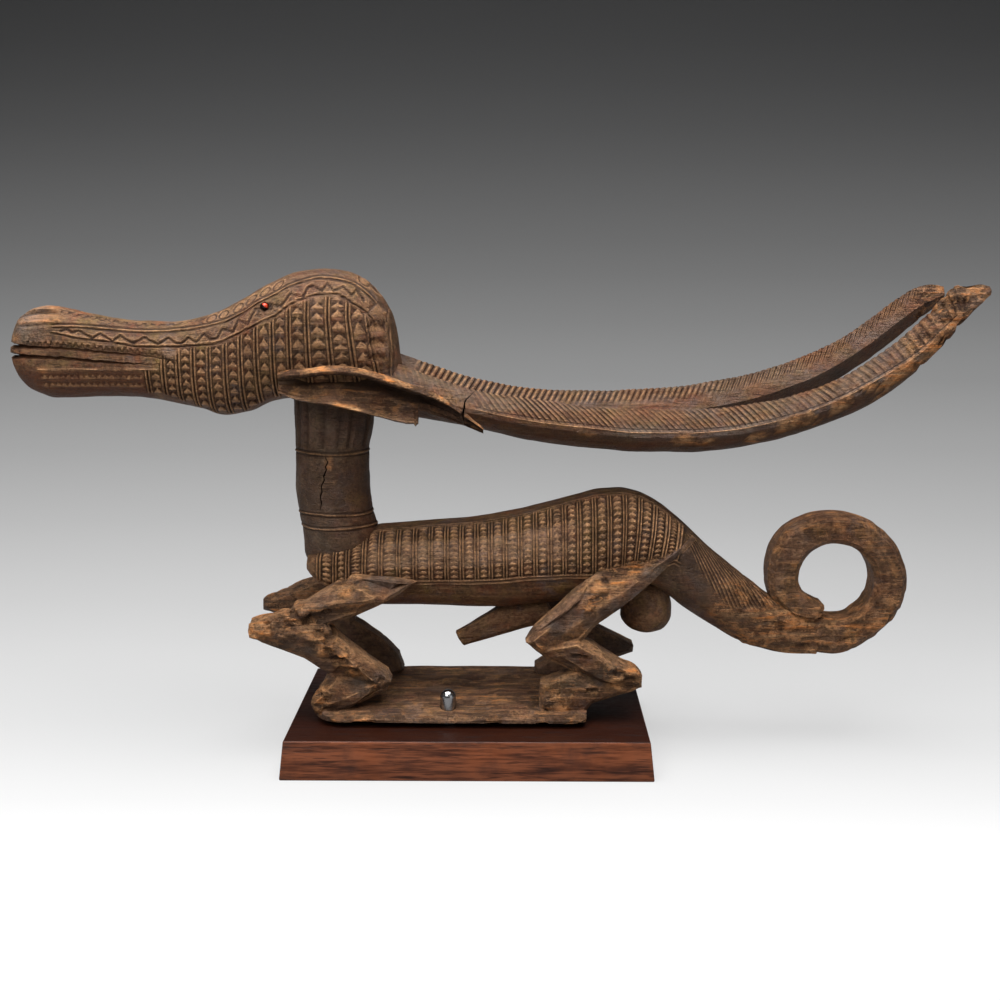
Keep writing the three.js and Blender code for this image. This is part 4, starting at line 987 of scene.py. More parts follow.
HIND_LEG = [
    (92, 59.5), (108.5, 70.5), (127, 84), (150, 103), (166, 117), (161, 121), (146, 113), (127, 106),
    (103, 102), (85, 89), (48, 56.5), (41.5, 46.5), (55.5, 35), (76, 25), (52, 16), (52, -8), (84, -8),
    (90, 1), (126, 13), (126, 21.5), (83, 49),
]
FAR_HIND_LEG = [
    (90, 56), (107, 71), (126, 84), (124, 96), (100, 97), (83, 88), (46, 57), (40, 47), (52, 37),
    (74, 26), (58, 12), (49, 6), (49, -3), (80, -3), (87, 5), (125.5, 17), (125.5, 22.5), (84, 43.5),
]
# Crests and hollows of the legs' outer faces as (x, z, depth under the face); flat facets lie between them
FRONT_CRESTS = [
    [(-113, 71, 0.5), (-94, 75.5, -1.5), (-77, 77, -1.5), (-67, 78.5, 0)],
    [(-113, 71, 0.5), (-100, 80, 2), (-88, 86.5, 2.5), (-76.4, 83.5, -0.5), (-67, 78.5, 0)],
    [(-88, 86.5, 2.5), (-74, 89.5, 4)], [(-46, 87.5, 8), (-56, 83, 7)],
    [(-112, 67, 3), (-94, 67, 4.2), (-82, 68.5, 4.5)],
    [(-152, 58, 0.5), (-142, 57.5, -1.2), (-125, 54, -1.5), (-107, 48, -2), (-92.9, 41.5, -2.2),
     (-80.8, 30.3, -2), (-69.5, 19, 0)],
    [(-138, 62, 1.5), (-128, 64.5, 0), (-120, 61, 2.5), (-107, 60, 3.5)],
    [(-134, 46, 1.2), (-120, 41, 1), (-109, 36.5, 0.8), (-93.1, 31.2, 1.2), (-76, 22.5, 2)],
    [(-97, 23.5, 4.5), (-88, 20.5, 5), (-76, 16.8, 4.8), (-64, 16, 3.5)],
    [(-95, 18.5, 1), (-105, 7, -0.8)], [(-73, 12.5, 0), (-88, 6, -1), (-102, 1, -1.2)],
    [(-71.5, 10, 0.5), (-83, 2, 0.2)], [(-64.5, 11, 5), (-70, 4, 5.5)],
]
HIND_CRESTS = [
    [(95, 94, 3), (87, 88.5, 0.5), (75.8, 75.5, -1.5), (56.3, 56, -1.8), (47, 48.5, 0)],
    [(82, 78, 2.2), (58, 59.5, 2.4)],
    [(150, 109, 1), (132, 97, 0), (114, 84, 0), (100, 76, 0.5), (84, 64, 1.2), (70, 55, 1.2)],
    [(126, 100, 3.5), (112, 92, 3.5), (100, 84, 3)],
    [(62, 45, 2.2), (70, 47.5, 4), (79, 50, 5)],
    [(56, 41, 1), (66, 43, 0), (78, 45.5, -0.6), (88.2, 40, -1.6), (100.5, 30, -1.6), (112, 22.8, 0)],
    [(70.5, 36, 0.4), (83.8, 27.5, 0), (94.6, 21, 0.6), (106, 17.8, 1.6)],
    [(79, 25.5, 5.2), (87, 21.5, 5.4), (96, 17, 5.2), (107, 14.4, 4.4)],
    [(56, 14, 1.5), (66, 18.5, 1), (77, 18, 1.2), (88, 12, 1.5), (101, 10.5, 2.5)],
    [(56, 1, 1), (67, 5, 0.6), (80, 4.5, 1)],
]
# Eroded places as (x, z, radius), and knot holes as (x, z, half length, half height)
FRONT_ERODED = [
    (-151, 57, 13), (-127, 62, 17), (-110, 60, 15), (-104, 47, 12), (-92, 34, 8), (-82, 27, 6),
    (-106, 2, 12), (-88, 90, 12), (-65, 16, 6),
]
FRONT_KNOTS = [(-101.5, 69.5, 4.6, 2.1), (-113, 65.5, 4, 1.2), (-100, 42.5, 3, 1.2), (-131, 63, 3.5, 1.0)]
HIND_ERODED = [
    (120, 98, 8), (105, 92, 11), (96, 82, 8), (87, 74, 5), (50, 44, 7), (114, 20, 13), (104, 22, 8),
    (64, 0, 12),
]
HIND_KNOTS = [(80.5, 37.4, 7, 1.5), (89.3, 11.6, 4.2, 1.7), (66, 8, 2.4, 1.0)]
# Places painted darker as painted shade, as (x, z, radius)
FRONT_SHADED = [
    (-50, 87, 13), (-66, 88, 9), (-72, 70, 7), (-128, 50, 9), (-112, 44, 7), (-66, 20, 8), (-80, 14, 8),
]
HIND_SHADED = [
    (162, 118, 9), (150, 108, 9), (140, 100, 9), (130, 91, 9), (119, 82, 8), (108, 74, 8), (98, 66, 8),
    (88, 62, 7), (47, 50, 6), (64, 58, 8), (74, 33, 7), (96, 20, 8),
]
PLATE_START, PLATE_END = -112, 86
PLATE_NEAR_EDGE, PLATE_FAR_EDGE = -60, 51.5
PLATE_START_RADIUS, PLATE_END_RADIUS = 24, 6
PLATE_THICKNESS = 11
PLATE_TOP_ROWS = 35
PLATE_SLOPE = [(-61, 0.54), (-42, 0.16), (-18, 0), (60, 0)]
SHEATH_STATIONS = [(54, 72, 64, 52, 10), (22, 61.5, 42, 46, 9.5), (-10.5, 41.5, -4.5, 31.5, 7)]
SHEATH_SECTION = [
    (0.5, 1), (-0.5, 1), (-1, 0.45), (-0.8, -0.6), (-0.4, -1), (0.4, -1), (0.8, -0.6), (1, 0.45),
]
SCROTUM_PLACE = (132, 62)
SCROTUM_RADIUS = 19.5
SCROTUM_PROFILE = [(-1, 0.02), (-0.86, 0.62), (-0.3, 0.97), (0.3, 0.94), (0.95, 0.6), (1.1, 0.02)]

# The curl, from where the tail turns up round to its tip
inner, outer = through(TAIL_HOLE_RADIUS), through(TAIL_OUTER_RADIUS)
turn = np.linspace(248, 606, 118)[:, None]
corners = np.array([(0, 0.7), (0, -0.7), (0.16, -1), (0.8, -1), (1, -0.6), (1, 0.6), (0.8, 1), (0.16, 1)])
share, wide = divided(corners, (4, 2, 6, 2, 4, 2, 6, 2)).T[:, None, :]
radius = inner(turn) + (outer(turn) - inner(turn)) * share
rings = np.stack([
    TAIL_HOLE[0] + radius * np.cos(np.radians(turn)),
    TAIL_CURL_HALF_WIDTH * wide + 0 * turn,
    TAIL_HOLE[1] + radius * np.sin(np.radians(turn)),
], axis=2)
low = 1 - step(rings[..., 2], 62, 78)
fibres = unevenness(rings, (26, 5, 3.2), 61)
holes = step(unevenness(rings, (12, 6, 4.5), 62), 0.3, 0.7)
hand = hand_work(rings, 63, ((14, 10, 14), 0.6), ((5, 4, 5), 0.25))
flat_side = np.abs(wide) > 0.95
on_side = 0.4 + 0.6 * flat_side
raised = (hand * on_side + low * on_side * (1.2 * fibres - 1.7 * holes) + 0.35 * fibres)
lengthways = np.sin((radius - inner(turn)) * 1.25 + 1.5 * unevenness(rings, (20, 10, 20), 65))
scratch = line_cut(lengthways - 1, 0.35) * flat_side
rings = displaced(rings, raised * between(turn, 248, 254, 600, 606) - 0.45 * scratch)
patch = unevenness(rings, (16, 10, 16), 66)
top_edge = step(rings[..., 2], 116, 128) * step(unevenness(rings, (9, 6, 5), 67), 0.0, 0.5)
cut = 0.85 * low * holes + 0.5 * scratch
wear_and_highlight = 0.25 + 0.3 * patch + 0.3 * (share < 0.1)
fresh = low * (0.3 * step(fibres, 0.1, 0.7) + 0.15) + 0.5 * top_edge
patina_and_shade = (0.2 + 0.25 * patch, 0.45, 0.3 * (patch > 0.2))
curl = skinned("tail_curl", rings, (cut, wear_and_highlight, fresh), patina_and_shade, drawn=(0, 0, 0.45 + 0.35 * low))
work(figure, curl, "UNION")


def inset(outline, distance):
    """The outline moved inwards, its corners along their bisectors."""
    points = np.array(outline, float)
    before = points - np.roll(points, 1, axis=0)
    after = np.roll(points, -1, axis=0) - points
    before /= np.linalg.norm(before, axis=1, keepdims=True)
    after /= np.linalg.norm(after, axis=1, keepdims=True)
    area = np.sum(points[:, 0] * np.roll(points[:, 1], -1) - np.roll(points[:, 0], -1) * points[:, 1])
    sign = 1.0 if area > 0 else -1.0
    left = np.stack([-before[:, 1], before[:, 0]], axis=1) * sign
    right = np.stack([-after[:, 1], after[:, 0]], axis=1) * sign
    middle = left + right
    middle /= np.maximum(np.linalg.norm(middle, axis=1, keepdims=True), 1e-6)
    reach = distance / np.maximum(np.sum(middle * left, axis=1, keepdims=True), 0.6)
    return points + middle * reach


def spots(x, z, places):
    """How near points are to any of the places: 1 inside, 0 outside."""
    near = np.zeros(len(x))
    for place in places:
        across, high = place[2], place[-1]
        near = np.maximum(near, 1 - step(np.hypot((x - place[0]) / across, (z - place[1]) / high), 0.55, 1.0))
    return near


def faceted_face(form, rim, crests, outside, side):
    """Lays the outer face in flat facets between its rim and the crests. Returns the points round the
    rim, and the place of each as (corner before, corner after, share of the way)."""
    flat, depths = [Vector(p) for p in rim.tolist()], [LEG_RIM_DEPTH] * len(rim)
    runs = [(i, (i + 1) % len(rim)) for i in range(len(rim))]
    for crest in crests:
        first_point = len(flat)
        flat += [Vector((x, z)) for x, z, depth in crest]
        depths += [depth for x, z, depth in crest]
        runs += [(i, i + 1) for i in range(first_point, len(flat) - 1)]
    laid, _, facets, sources, _, _ = delaunay_2d_cdt(flat, runs, [list(range(len(rim)))], 1, 1e-3)
    face_points, rim_place = [], {}
    for number, (place, came_from) in enumerate(zip(laid, sources)):
        depth = depths[came_from[0]] if came_from else LEG_RIM_DEPTH
        face_points.append(form.verts.new((place.x, outside - side * depth, place.y)))
        for index in came_from:
            if index < len(rim):
                rim_place[number] = index
    for facet in facets:
        form.faces.new([face_points[i] for i in facet])
    directed = {(a, b) for facet in facets for a, b in zip(facet, facet[1:] + facet[:1])}
    following = {a: b for a, b in directed if (b, a) not in directed}
    walk = [next(number for number, index in rim_place.items() if index == 0)]
    while following[walk[-1]] != walk[0]:
        walk.append(following[walk[-1]])
    order = 1 if rim_place[next(n for n in walk[1:] if n in rim_place)] == 1 else -1
    border, index = [], 0
    for number in walk:
        index = rim_place.get(number, index)
        onward = (index + order) % len(rim)
        gone = np.hypot(laid[number].x - rim[index][0], laid[number].y - rim[index][1])
        border.append((index, onward, gone / np.hypot(*(rim[onward] - rim[index]))))
    return [face_points[number] for number in walk], border


def leg(name, outline, crests, eroded, knots, shaded, side, grid, seed):
    """A side outline given thickness, its outer face laid in facets between crests, then weathered."""
    lean = through(LEG_LEAN)
    near = side < 0
    outside, inside = LEG_OUTSIDE * side, (LEG_OUTSIDE - LEG_WIDTH) * side
    form = bmesh.new()
    face_border, border = faceted_face(form, inset(outline, LEG_RIM), crests, outside, side)
    loops = [face_border]
    full, small = np.array(outline, float), inset(outline, LEG_FACET * 0.7)
    facet = side * LEG_FACET
    for shape, y in ((full, outside - facet), (full, inside + facet), (small, inside)):
        places = [shape[i] + (shape[j] - shape[i]) * share for i, j, share in border]
        loops.append([form.verts.new((p[0], y, p[1])) for p in places])
    for a, b in zip(loops, loops[1:]):
        for i in range(len(a)):
            j = (i + 1) % len(a)
            form.faces.new((a[i], a[j], b[j], b[i]))
    form.faces.new(loops[-1])
    bmesh.ops.recalc_face_normals(form, faces=form.faces)
    for axis, low, high in ((0, -160, 166), (2, -6, 120), (1, -50, 50)):
        for place in np.arange(low, high, grid):
            at, across = Vector((0, 0, 0)), Vector((0, 0, 0))
            at[axis], across[axis] = place + 0.37, 1
            everything = form.verts[:] + form.edges[:] + form.faces[:]
            bmesh.ops.bisect_plane(form, geom=everything, plane_co=at, plane_no=across, dist=0.25)
    bmesh.ops.triangulate(form, faces=form.faces)
    form.normal_update()
    points = np.array([v.co for v in form.verts])
    normals = np.array([v.normal for v in form.verts])
    x, z = points[:, 0], points[:, 2]
    fibres = unevenness(points, (17, 4, 3.4), seed + 1)
    holes = step(unevenness(points, (9, 6, 4), seed + 2), 0.25, 0.5)
    rotten = spots(x, z, eroded)
    knot = spots(x, z, knots) * (np.abs(points[:, 1]) > LEG_OUTSIDE - 9)
    raised = 0.5 * unevenness(points, (26, 60, 16), seed) + 0.4 * fibres
    raised = raised + rotten * (1.5 * fibres + 0.7 - 2.9 * holes) - 3.4 * knot
    points = points + normals * raised[:, None]
    points[:, 1] -= side * lean(points[:, 2])
    for vert, place in zip(form.verts, points):
        vert.co = Vector((place[0], place[1], place[2] + PLATE_TOP)) / 1000
    mesh = bpy.data.meshes.new(name)
    form.to_mesh(mesh)
    form.free()
    obj = bpy.data.objects.new(name, mesh)
    bpy.context.scene.collection.objects.link(obj)

    # Wear and painted highlight on the crests and edges, painted shade in the shaded places and over the
    # whole of the far legs, painted light and shade by which way the faces turn, pale wood where the surface
    # has gone
    edge_gap = away_from(x, z, list(outline) + [outline[0]])
    crest_gap = np.full(len(x), 99.0)
    for crest in crests:
        if min(place[2] for place in crest) < 0.6:
            crest_gap = np.minimum(crest_gap, away_from(x, z, [place[:2] for place in crest]))
    patch = unevenness(points, (15, 11, 8), seed + 3)
    facing = np.abs(normals[:, 1])
    # Painted light and shade by which way a face turns: faces turned up are painted lighter, faces turned
    # down darker
    turned_up, turned_down = step(normals[:, 2], 0.12, 0.4), step(-normals[:, 2], 0.12, 0.45)
    # Painted shade: the far legs are shaded 0.75 all over, the near legs only in their shaded places
    shade = spots(x, z, shaded) if near else 0.75 + 0 * x
    arris = np.clip((edge_gap < 3.4) * (facing < 0.85) + 0.9 * (crest_gap < 1.3), 0, 1)
    cut = 0.75 * rotten * holes + knot
    wear_and_highlight = 0.6 * arris * step(patch, -0.5, 0) + 0.25 * step(patch, 0, 0.7)
    wear_and_highlight = np.clip(np.clip(wear_and_highlight, 0, 1) + 0.3 * turned_up * (1 - shade), 0, 1) * (1 - 0.5 * shade)
    fresh = np.clip(rotten * step(fibres + 0.5 * patch, -0.45, 0.35) * 0.9 * (1 - holes), 0, 1)
    dark = 0.35 - 0.3 * patch + 0.6 * shade + 0.35 * turned_down - 0.2 * turned_up
    grey = 0.45 * step(-patch, 0.0, 0.4) + 0.4 * shade
    # Painted highlight along the crests and edges, dimmer on the far legs
    lit = line_cut(np.minimum(crest_gap, edge_gap + 0.6), NEAR) * step(patch, -0.6, -0.1)
    lit = lit * (1.0 if near else 0.6) * (facing < 0.97)
    split = np.clip(0.4 + 0.6 * rotten - 0.4 * shade, 0, 1)
    cuts = np.stack([np.clip(cut, 0, 1), wear_and_highlight, fresh * (1 - 0.8 * shade)], axis=1)
    patina_and_shade = np.clip(np.stack([dark, 0.25 + 0.25 * patch, grey], axis=1), 0, 1)
    mark(obj, cuts, patina_and_shade, drawn=np.stack([0 * lit, lit, split], axis=1))
    return obj


for part in (
    leg("leg_front_near", FRONT_LEG, FRONT_CRESTS, FRONT_ERODED, FRONT_KNOTS, FRONT_SHADED, -1, 2.4, 71),
    leg("leg_front_far", FAR_FRONT_LEG, FRONT_CRESTS[5:6], FRONT_ERODED[:2], [], [], 1, 5.4, 76),
    leg("leg_hind_near", HIND_LEG, HIND_CRESTS, HIND_ERODED, HIND_KNOTS, HIND_SHADED, -1, 2.4, 81),
    leg("leg_hind_far", FAR_HIND_LEG, HIND_CRESTS[:1], HIND_ERODED[4:5], [], [], 1, 5.4, 86),
):
    work(figure, part, "UNION")

# The foot plate, worn to a thin lip along its near side
slope = through(PLATE_SLOPE)
x = np.concatenate([
    PLATE_START + PLATE_START_RADIUS * (1 - np.cos(np.linspace(0.02, np.pi / 2, 12))),
    np.arange(PLATE_START + 27, PLATE_END - 7, 3.8),
    PLATE_END - PLATE_END_RADIUS * (1 - np.sin(np.linspace(0, np.pi / 2 - 0.02, 6))),
])
x = np.clip(x, PLATE_START + 0.3, PLATE_END - 0.2)


def rounded_off(radius, beyond):
    """How far a rounded corner takes the edge in, for a distance along the corner."""
    return radius - np.sqrt(np.maximum(0, radius**2 - np.clip(beyond, 0, None) ** 2))


start_round = rounded_off(PLATE_START_RADIUS, PLATE_START + PLATE_START_RADIUS - x)
end_round = rounded_off(PLATE_END_RADIUS, x - PLATE_END + PLATE_END_RADIUS)
near = (PLATE_NEAR_EDGE + start_round + end_round)[:, None]
far = (PLATE_FAR_EDGE - start_round - end_round)[:, None]
y_top = near + (far - near) * np.linspace(0, 1, PLATE_TOP_ROWS)[None, :]
edge = np.minimum(np.minimum(y_top - near, far - y_top), 2.2)
z_top = -PLATE_THICKNESS * slope(y_top) - (2.2 - edge) ** 2 * 0.4
y_low = far + (near - far) * np.linspace(0, 1, 11)[None, :]
edge_low = np.minimum(np.minimum(y_low - near, far - y_low), 1.5)
z_low = -PLATE_THICKNESS + (1.5 - edge_low) ** 2 * 0.5
wall = np.array([0.3, 0.6])[None, :]
z_far = z_top[:, -1:] + (z_low[:, :1] - z_top[:, -1:]) * wall
z_near = z_low[:, -1:] + (z_top[:, :1] - z_low[:, -1:]) * wall
y_ring = np.concatenate([y_top, far + 0 * wall, y_low, near + 0 * wall], axis=1)
z_ring = np.concatenate([z_top, z_far, z_low, z_near], axis=1)
rings = np.stack([x[:, None] + 0 * y_ring, y_ring, z_ring], axis=2)
upper = (np.arange(rings.shape[1])[None, :] < PLATE_TOP_ROWS) * 1.0
fibres = unevenness(rings, (24, 5, 3.5), 91)
gouges = step(unevenness(rings, (16, 9, 6), 92), 0.25, 0.6)
chips = step(unevenness(rings, (9, 6, 5), 93), 0.2, 0.5)
rim = line_cut(rings[..., 1] - near, 7)
over_foot = step(rings[..., 2], -PLATE_THICKNESS + 0.2, -PLATE_THICKNESS + 1.6)
raised = (upper * (0.5 * fibres - 0.9 * gouges) - 1.4 * rim * chips + 0.3 * fibres) * over_foot
hollow = unevenness(rings, (30, 22, 20), 94) * 0.9 * upper
rings = displaced(rings, raised + hollow - 0.4 * upper)
rings[..., 2] = np.maximum(rings[..., 2], -PLATE_THICKNESS)
patch = unevenness(rings, (18, 10, 8), 95)
cuts = (0.45 * gouges * upper, 0.25 * step(patch, -0.1, 0.6), 0.4 * rim * chips)
patina_and_shade = (0.4 - 0.25 * patch + 0.35 * rim, 0.2 + 0.2 * rim, 0.15 + 0.4 * rim * (patch > -0.1))
work(figure, skinned("foot_plate", rings, cuts, patina_and_shade, drawn=(0, 0, 0.5)), "UNION")

# Under the belly: the sheath and, behind it, the scrotum
t = np.linspace(0, 2, 26)
top_x, top_z, low_x, low_z, half_width = (
    np.interp(t, [0, 1, 2], values)[:, None] for values in np.array(SHEATH_STATIONS, float).T
)
across, height, _ = divided(np.array([(w, h, 0.0) for w, h in SHEATH_SECTION]), (4,) * 8).T[:, None, :]
height = (height + 1) / 2
rings = np.stack([
    low_x + (top_x - low_x) * height, half_width * across + 0 * height, low_z + (top_z - low_z) * height,
], axis=2)
rings = displaced(rings, unevenness(rings, (12, 8, 8), 96) * 0.6 * step(t, 0, 0.3)[:, None])
patch = unevenness(rings, (12, 9, 7), 97)
cuts = (0, 0.35 + 0.3 * patch, 0.4 * step(-rings[..., 0], 2, 9) * (patch > -0.2))
work(figure, skinned("sheath", rings, cuts, (0.2, 0.15, 0.1)), "UNION")

heights, widths = np.array(SCROTUM_PROFILE).T
reach = np.concatenate([[0], np.cumsum(np.hypot(np.diff(heights), np.diff(widths)))])
t = np.linspace(0, 1, 22)
rise, wide = (through(list(zip(reach, values)))(t * reach[-1])[:, None] for values in (heights, widths))
angle = np.linspace(0, 2 * np.pi, 33)[:-1][None, :]
rings = SCROTUM_RADIUS * np.stack([wide * np.cos(angle), wide * np.sin(angle), rise + 0 * angle], axis=2)
rings += np.array([SCROTUM_PLACE[0], 0, SCROTUM_PLACE[1]])
rings = displaced(rings, unevenness(rings, (12, 12, 9), 98) * 0.7 * (np.sin(t * np.pi) ** 0.5)[:, None])
patch = unevenness(rings, (9, 9, 9), 99)
scrotum = skinned("scrotum", rings, (0, 0.3 + 0.3 * patch, 0), (0.25, 0.25, 0.15 * (patch > 0)))
work(figure, scrotum, "UNION")

# What is cut into the joined block: the mouth, the eye recesses, the hole for the pin, and the old cracks in
# the neck and the near horn
MOUTH_UPPER = [(-342, 258), (-324, 257), (-292, 256), (-264, 253.5), (-228, 250.5), (-207, 247)]
MOUTH_LOWER = [(-342, 250), (-324, 250), (-292, 249), (-264, 246.5), (-228, 245), (-220, 245)]
MOUTH_DEPTH = 5
MOUTH_HALF_OPENING = 2.3
EYE = (-143, 286)
EYE_RECESS_DEPTH = 2.2
SEED_DIAMETER = 5.4
SEED_SUNK = 0.55
PIN_PLACE = (-14.8, -44)
PIN_HOLE_RADIUS = 6.05
RECESS_RADIUS, RECESS_LENGTH, RECESS_FLOOR = 4.6, 9, 0.76
NECK_CRACK = [
    (-103.4, 178), (-101.5, 174.5), (-103.2, 171), (-102.6, 168.7), (-104.8, 164), (-104.2, 161.4),
    (-106.6, 157), (-106.2, 153), (-107.6, 149), (-106.8, 145), (-107.9, 139.3),
]
HORN_CRACK = [
    (8.5, 229.5), (4.3, 225), (2.6, 223.4), (-1.4, 220), (-2.6, 217.6), (-2.6, 214), (-3.8, 210), (-3.4, 203),
]


def mouth_cut(line, side):
    """A wedge cut along one side of the snout, running out towards the corner of the mouth."""
    height = through(line)
    front, end = line[0][0], line[-1][0]
    corner = SNOUT + MOUTH_DEPTH
    steps = [front, corner - 1, corner + 1, *np.arange(-323, end - 6, 4.0), end - 4, end - 1, end]
    rings = []
    for x in steps:
        z = float(height(x)) + (0.35 * math.sin(x * 0.9) if x > -322 else 0)
        fade = min(1, (end - x) / 40)
        behind = x - MOUTH_DEPTH
        reach = -0.5 if behind < SNOUT else float(head_side(behind, z)) - MOUTH_DEPTH * 0.5 * fade
        out = float(head_side(x, z)) + 6 + MOUTH_DEPTH * (1 - fade)
        gap = MOUTH_HALF_OPENING * (0.35 + 0.65 * fade) * 1.7
        rings.append([
            (x, side * reach, z + 0.3), (x, side * out, z + gap),
            (x, side * out, z - gap), (x, side * reach, z - 0.3),
        ])
    return skinned("mouth_cut", np.array(rings), (0.55, 0.1, 0), (0.4, 0.5, 0))


def crack(name, path, y_from, y_to, width):
    """A thin jagged wedge along a path of (x, z) points, wide outside and closed inside."""
    rings = []
    last = len(path) - 1
    for i, (x, z) in enumerate(path):
        ahead = np.array(path[min(i + 1, last)]) - np.array(path[max(i - 1, 0)])
        ahead = ahead / np.linalg.norm(ahead)
        half = width * (0.25 if i in (0, last) else 0.5)
        dx, dz = -ahead[1] * half, ahead[0] * half
        rings.append([(x + dx, y_from, z + dz), (x - dx, y_from, z - dz), (x, y_to, z)])
    return skinned(name, np.array(rings), (1, 0, 0), (1, 0, 0))


def eye_place(side, outwards=0.0):
    """The middle of an eye's seed in metres, or a place further out from it."""
    surface = float(head_side(*EYE))
    y = surface - EYE_RECESS_DEPTH - SEED_DIAMETER * (SEED_SUNK - 0.5) + outwards
    return Matrix.Translation(Vector((EYE[0], side * y, EYE[1] + PLATE_TOP)) / 1000)


for side in (-1, 1):
    for line in (MOUTH_UPPER, MOUTH_LOWER):
        work(figure, mouth_cut(line, side), "DIFFERENCE")

    bpy.ops.mesh.primitive_cylinder_add(vertices=6, radius=RECESS_RADIUS / 1000, depth=RECESS_LENGTH / 1000)
    recess = bpy.context.active_object
    for vert in recess.data.vertices:
        if vert.co.z < 0:
            vert.co.x *= RECESS_FLOOR
            vert.co.y *= RECESS_FLOOR
    face_out = Matrix.Rotation(-side * math.pi / 2, 4, "X")
    recess.data.transform(eye_place(side, RECESS_LENGTH / 2 + SEED_DIAMETER * (SEED_SUNK - 0.5)) @ face_out)
    mark(recess, (0.95, 0, 0), (0.9, 0, 0))
    work(figure, recess, "DIFFERENCE")
    bpy.ops.mesh.primitive_uv_sphere_add(segments=20, ring_count=12, radius=(SEED_DIAMETER / 2 + 0.3) / 1000)
    seat = bpy.context.active_object
    seat.data.transform(eye_place(side))
    mark(seat, (1, 0, 0), (1, 0, 0))
    work(figure, seat, "DIFFERENCE")

work(figure, crack("neck_crack", NECK_CRACK, -32, -19, 2.3), "DIFFERENCE")
work(figure, crack("horn_crack", HORN_CRACK, -44, -16, 2.8), "DIFFERENCE")
bpy.ops.mesh.primitive_cylinder_add(vertices=36, radius=PIN_HOLE_RADIUS / 1000, depth=0.03)
hole = bpy.context.active_object
hole.data.transform(Matrix.Translation(Vector((*PIN_PLACE, PLATE_TOP)) / 1000))
mark(hole, (0.9, 0, 0), (0.8, 0, 0))
work(figure, hole, "DIFFERENCE")
pick(figure)
bpy.ops.object.shade_smooth_by_angle(angle=math.radians(24))


# The wood's finish: dark handled patina, paler on raised lines from wear and painted highlight, orange where
# it is broken, near black in the cuts from patina and painted shade, and painted shade on undersides and on
# the far legs. The same grain group serves the plinth.
def new_node(tree, kind, **settings):
    made = tree.nodes.new(kind)
    for key, value in settings.items():
        setattr(made, key, value)
    return made


def put(tree, value, socket):
    """Gives a socket another node's output, a colour or a plain value."""
    if isinstance(value, bpy.types.NodeSocket):
        tree.links.new(value, socket)
    else:
        socket.default_value = (*value, 1.0) if isinstance(value, tuple) else value


def mixed(tree, share, first, second):
    mix = new_node(tree, "ShaderNodeMix", data_type="RGBA")
    for socket, value in ((mix.inputs[0], share), (mix.inputs[6], first), (mix.inputs[7], second)):
        put(tree, value, socket)
    return mix.outputs[2]


def reckoned(tree, operation, *values, clamp=False):
    node = new_node(tree, "ShaderNodeMath", operation=operation, use_clamp=clamp)
    for socket, value in zip(node.inputs, values):
        put(tree, value, socket)
    return node.outputs[0]


def times(tree, first, second):
    return reckoned(tree, "MULTIPLY", first, second)


def scaled(tree, value, factor, base, clamp=False):
    """The value times the factor, plus the base."""
    return reckoned(tree, "MULTIPLY_ADD", value, factor, base, clamp=clamp)


def highest(tree, first, *others):
    for other in others:
        first = reckoned(tree, "MAXIMUM", first, other)
    return first


def ranged(tree, value, low, high, to_low=0.0, to_high=1.0):
    """The value stretched from one range to another, and held inside it."""
    reach = new_node(tree, "ShaderNodeMapRange", clamp=True)
    for socket, given in zip(reach.inputs, (value, low, high, to_low, to_high)):
        put(tree, given, socket)
    return reach.outputs["Result"]


def gap_ranged(tree, value, centre, none, full):
    """0 where the value is this far from a centre, and 1 where it is that far."""
    return ranged(tree, reckoned(tree, "ABSOLUTE", reckoned(tree, "SUBTRACT", value, centre)), none, full)


def noise(tree, where, scale, detail=3.0, roughness=0.55):
    made = new_node(tree, "ShaderNodeTexNoise")
    for name, value in (("Vector", where), ("Scale", scale), ("Detail", detail), ("Roughness", roughness)):
        put(tree, value, made.inputs[name])
    return made.outputs["Fac"]


def mapped(tree, where, **settings):
    """Coordinates moved by a Location or stretched by a Scale."""
    mapping = tree.nodes.new("ShaderNodeMapping")
    for name, value in settings.items():
        mapping.inputs[name].default_value = value
    tree.links.new(where, mapping.inputs["Vector"])
    return mapping.outputs[0]


def parted(tree, vector):
    parts = tree.nodes.new("ShaderNodeSeparateXYZ")
    tree.links.new(vector, parts.inputs[0])
    return parts.outputs


def placed(tree):
    return tree.nodes.new("ShaderNodeTexCoord").outputs["Object"]


def carried(tree, name):
    """The three values that the mesh keeps under a name."""
    kept = new_node(tree, "ShaderNodeAttribute", attribute_type="GEOMETRY", attribute_name=name)
    return parted(tree, kept.outputs["Vector"])


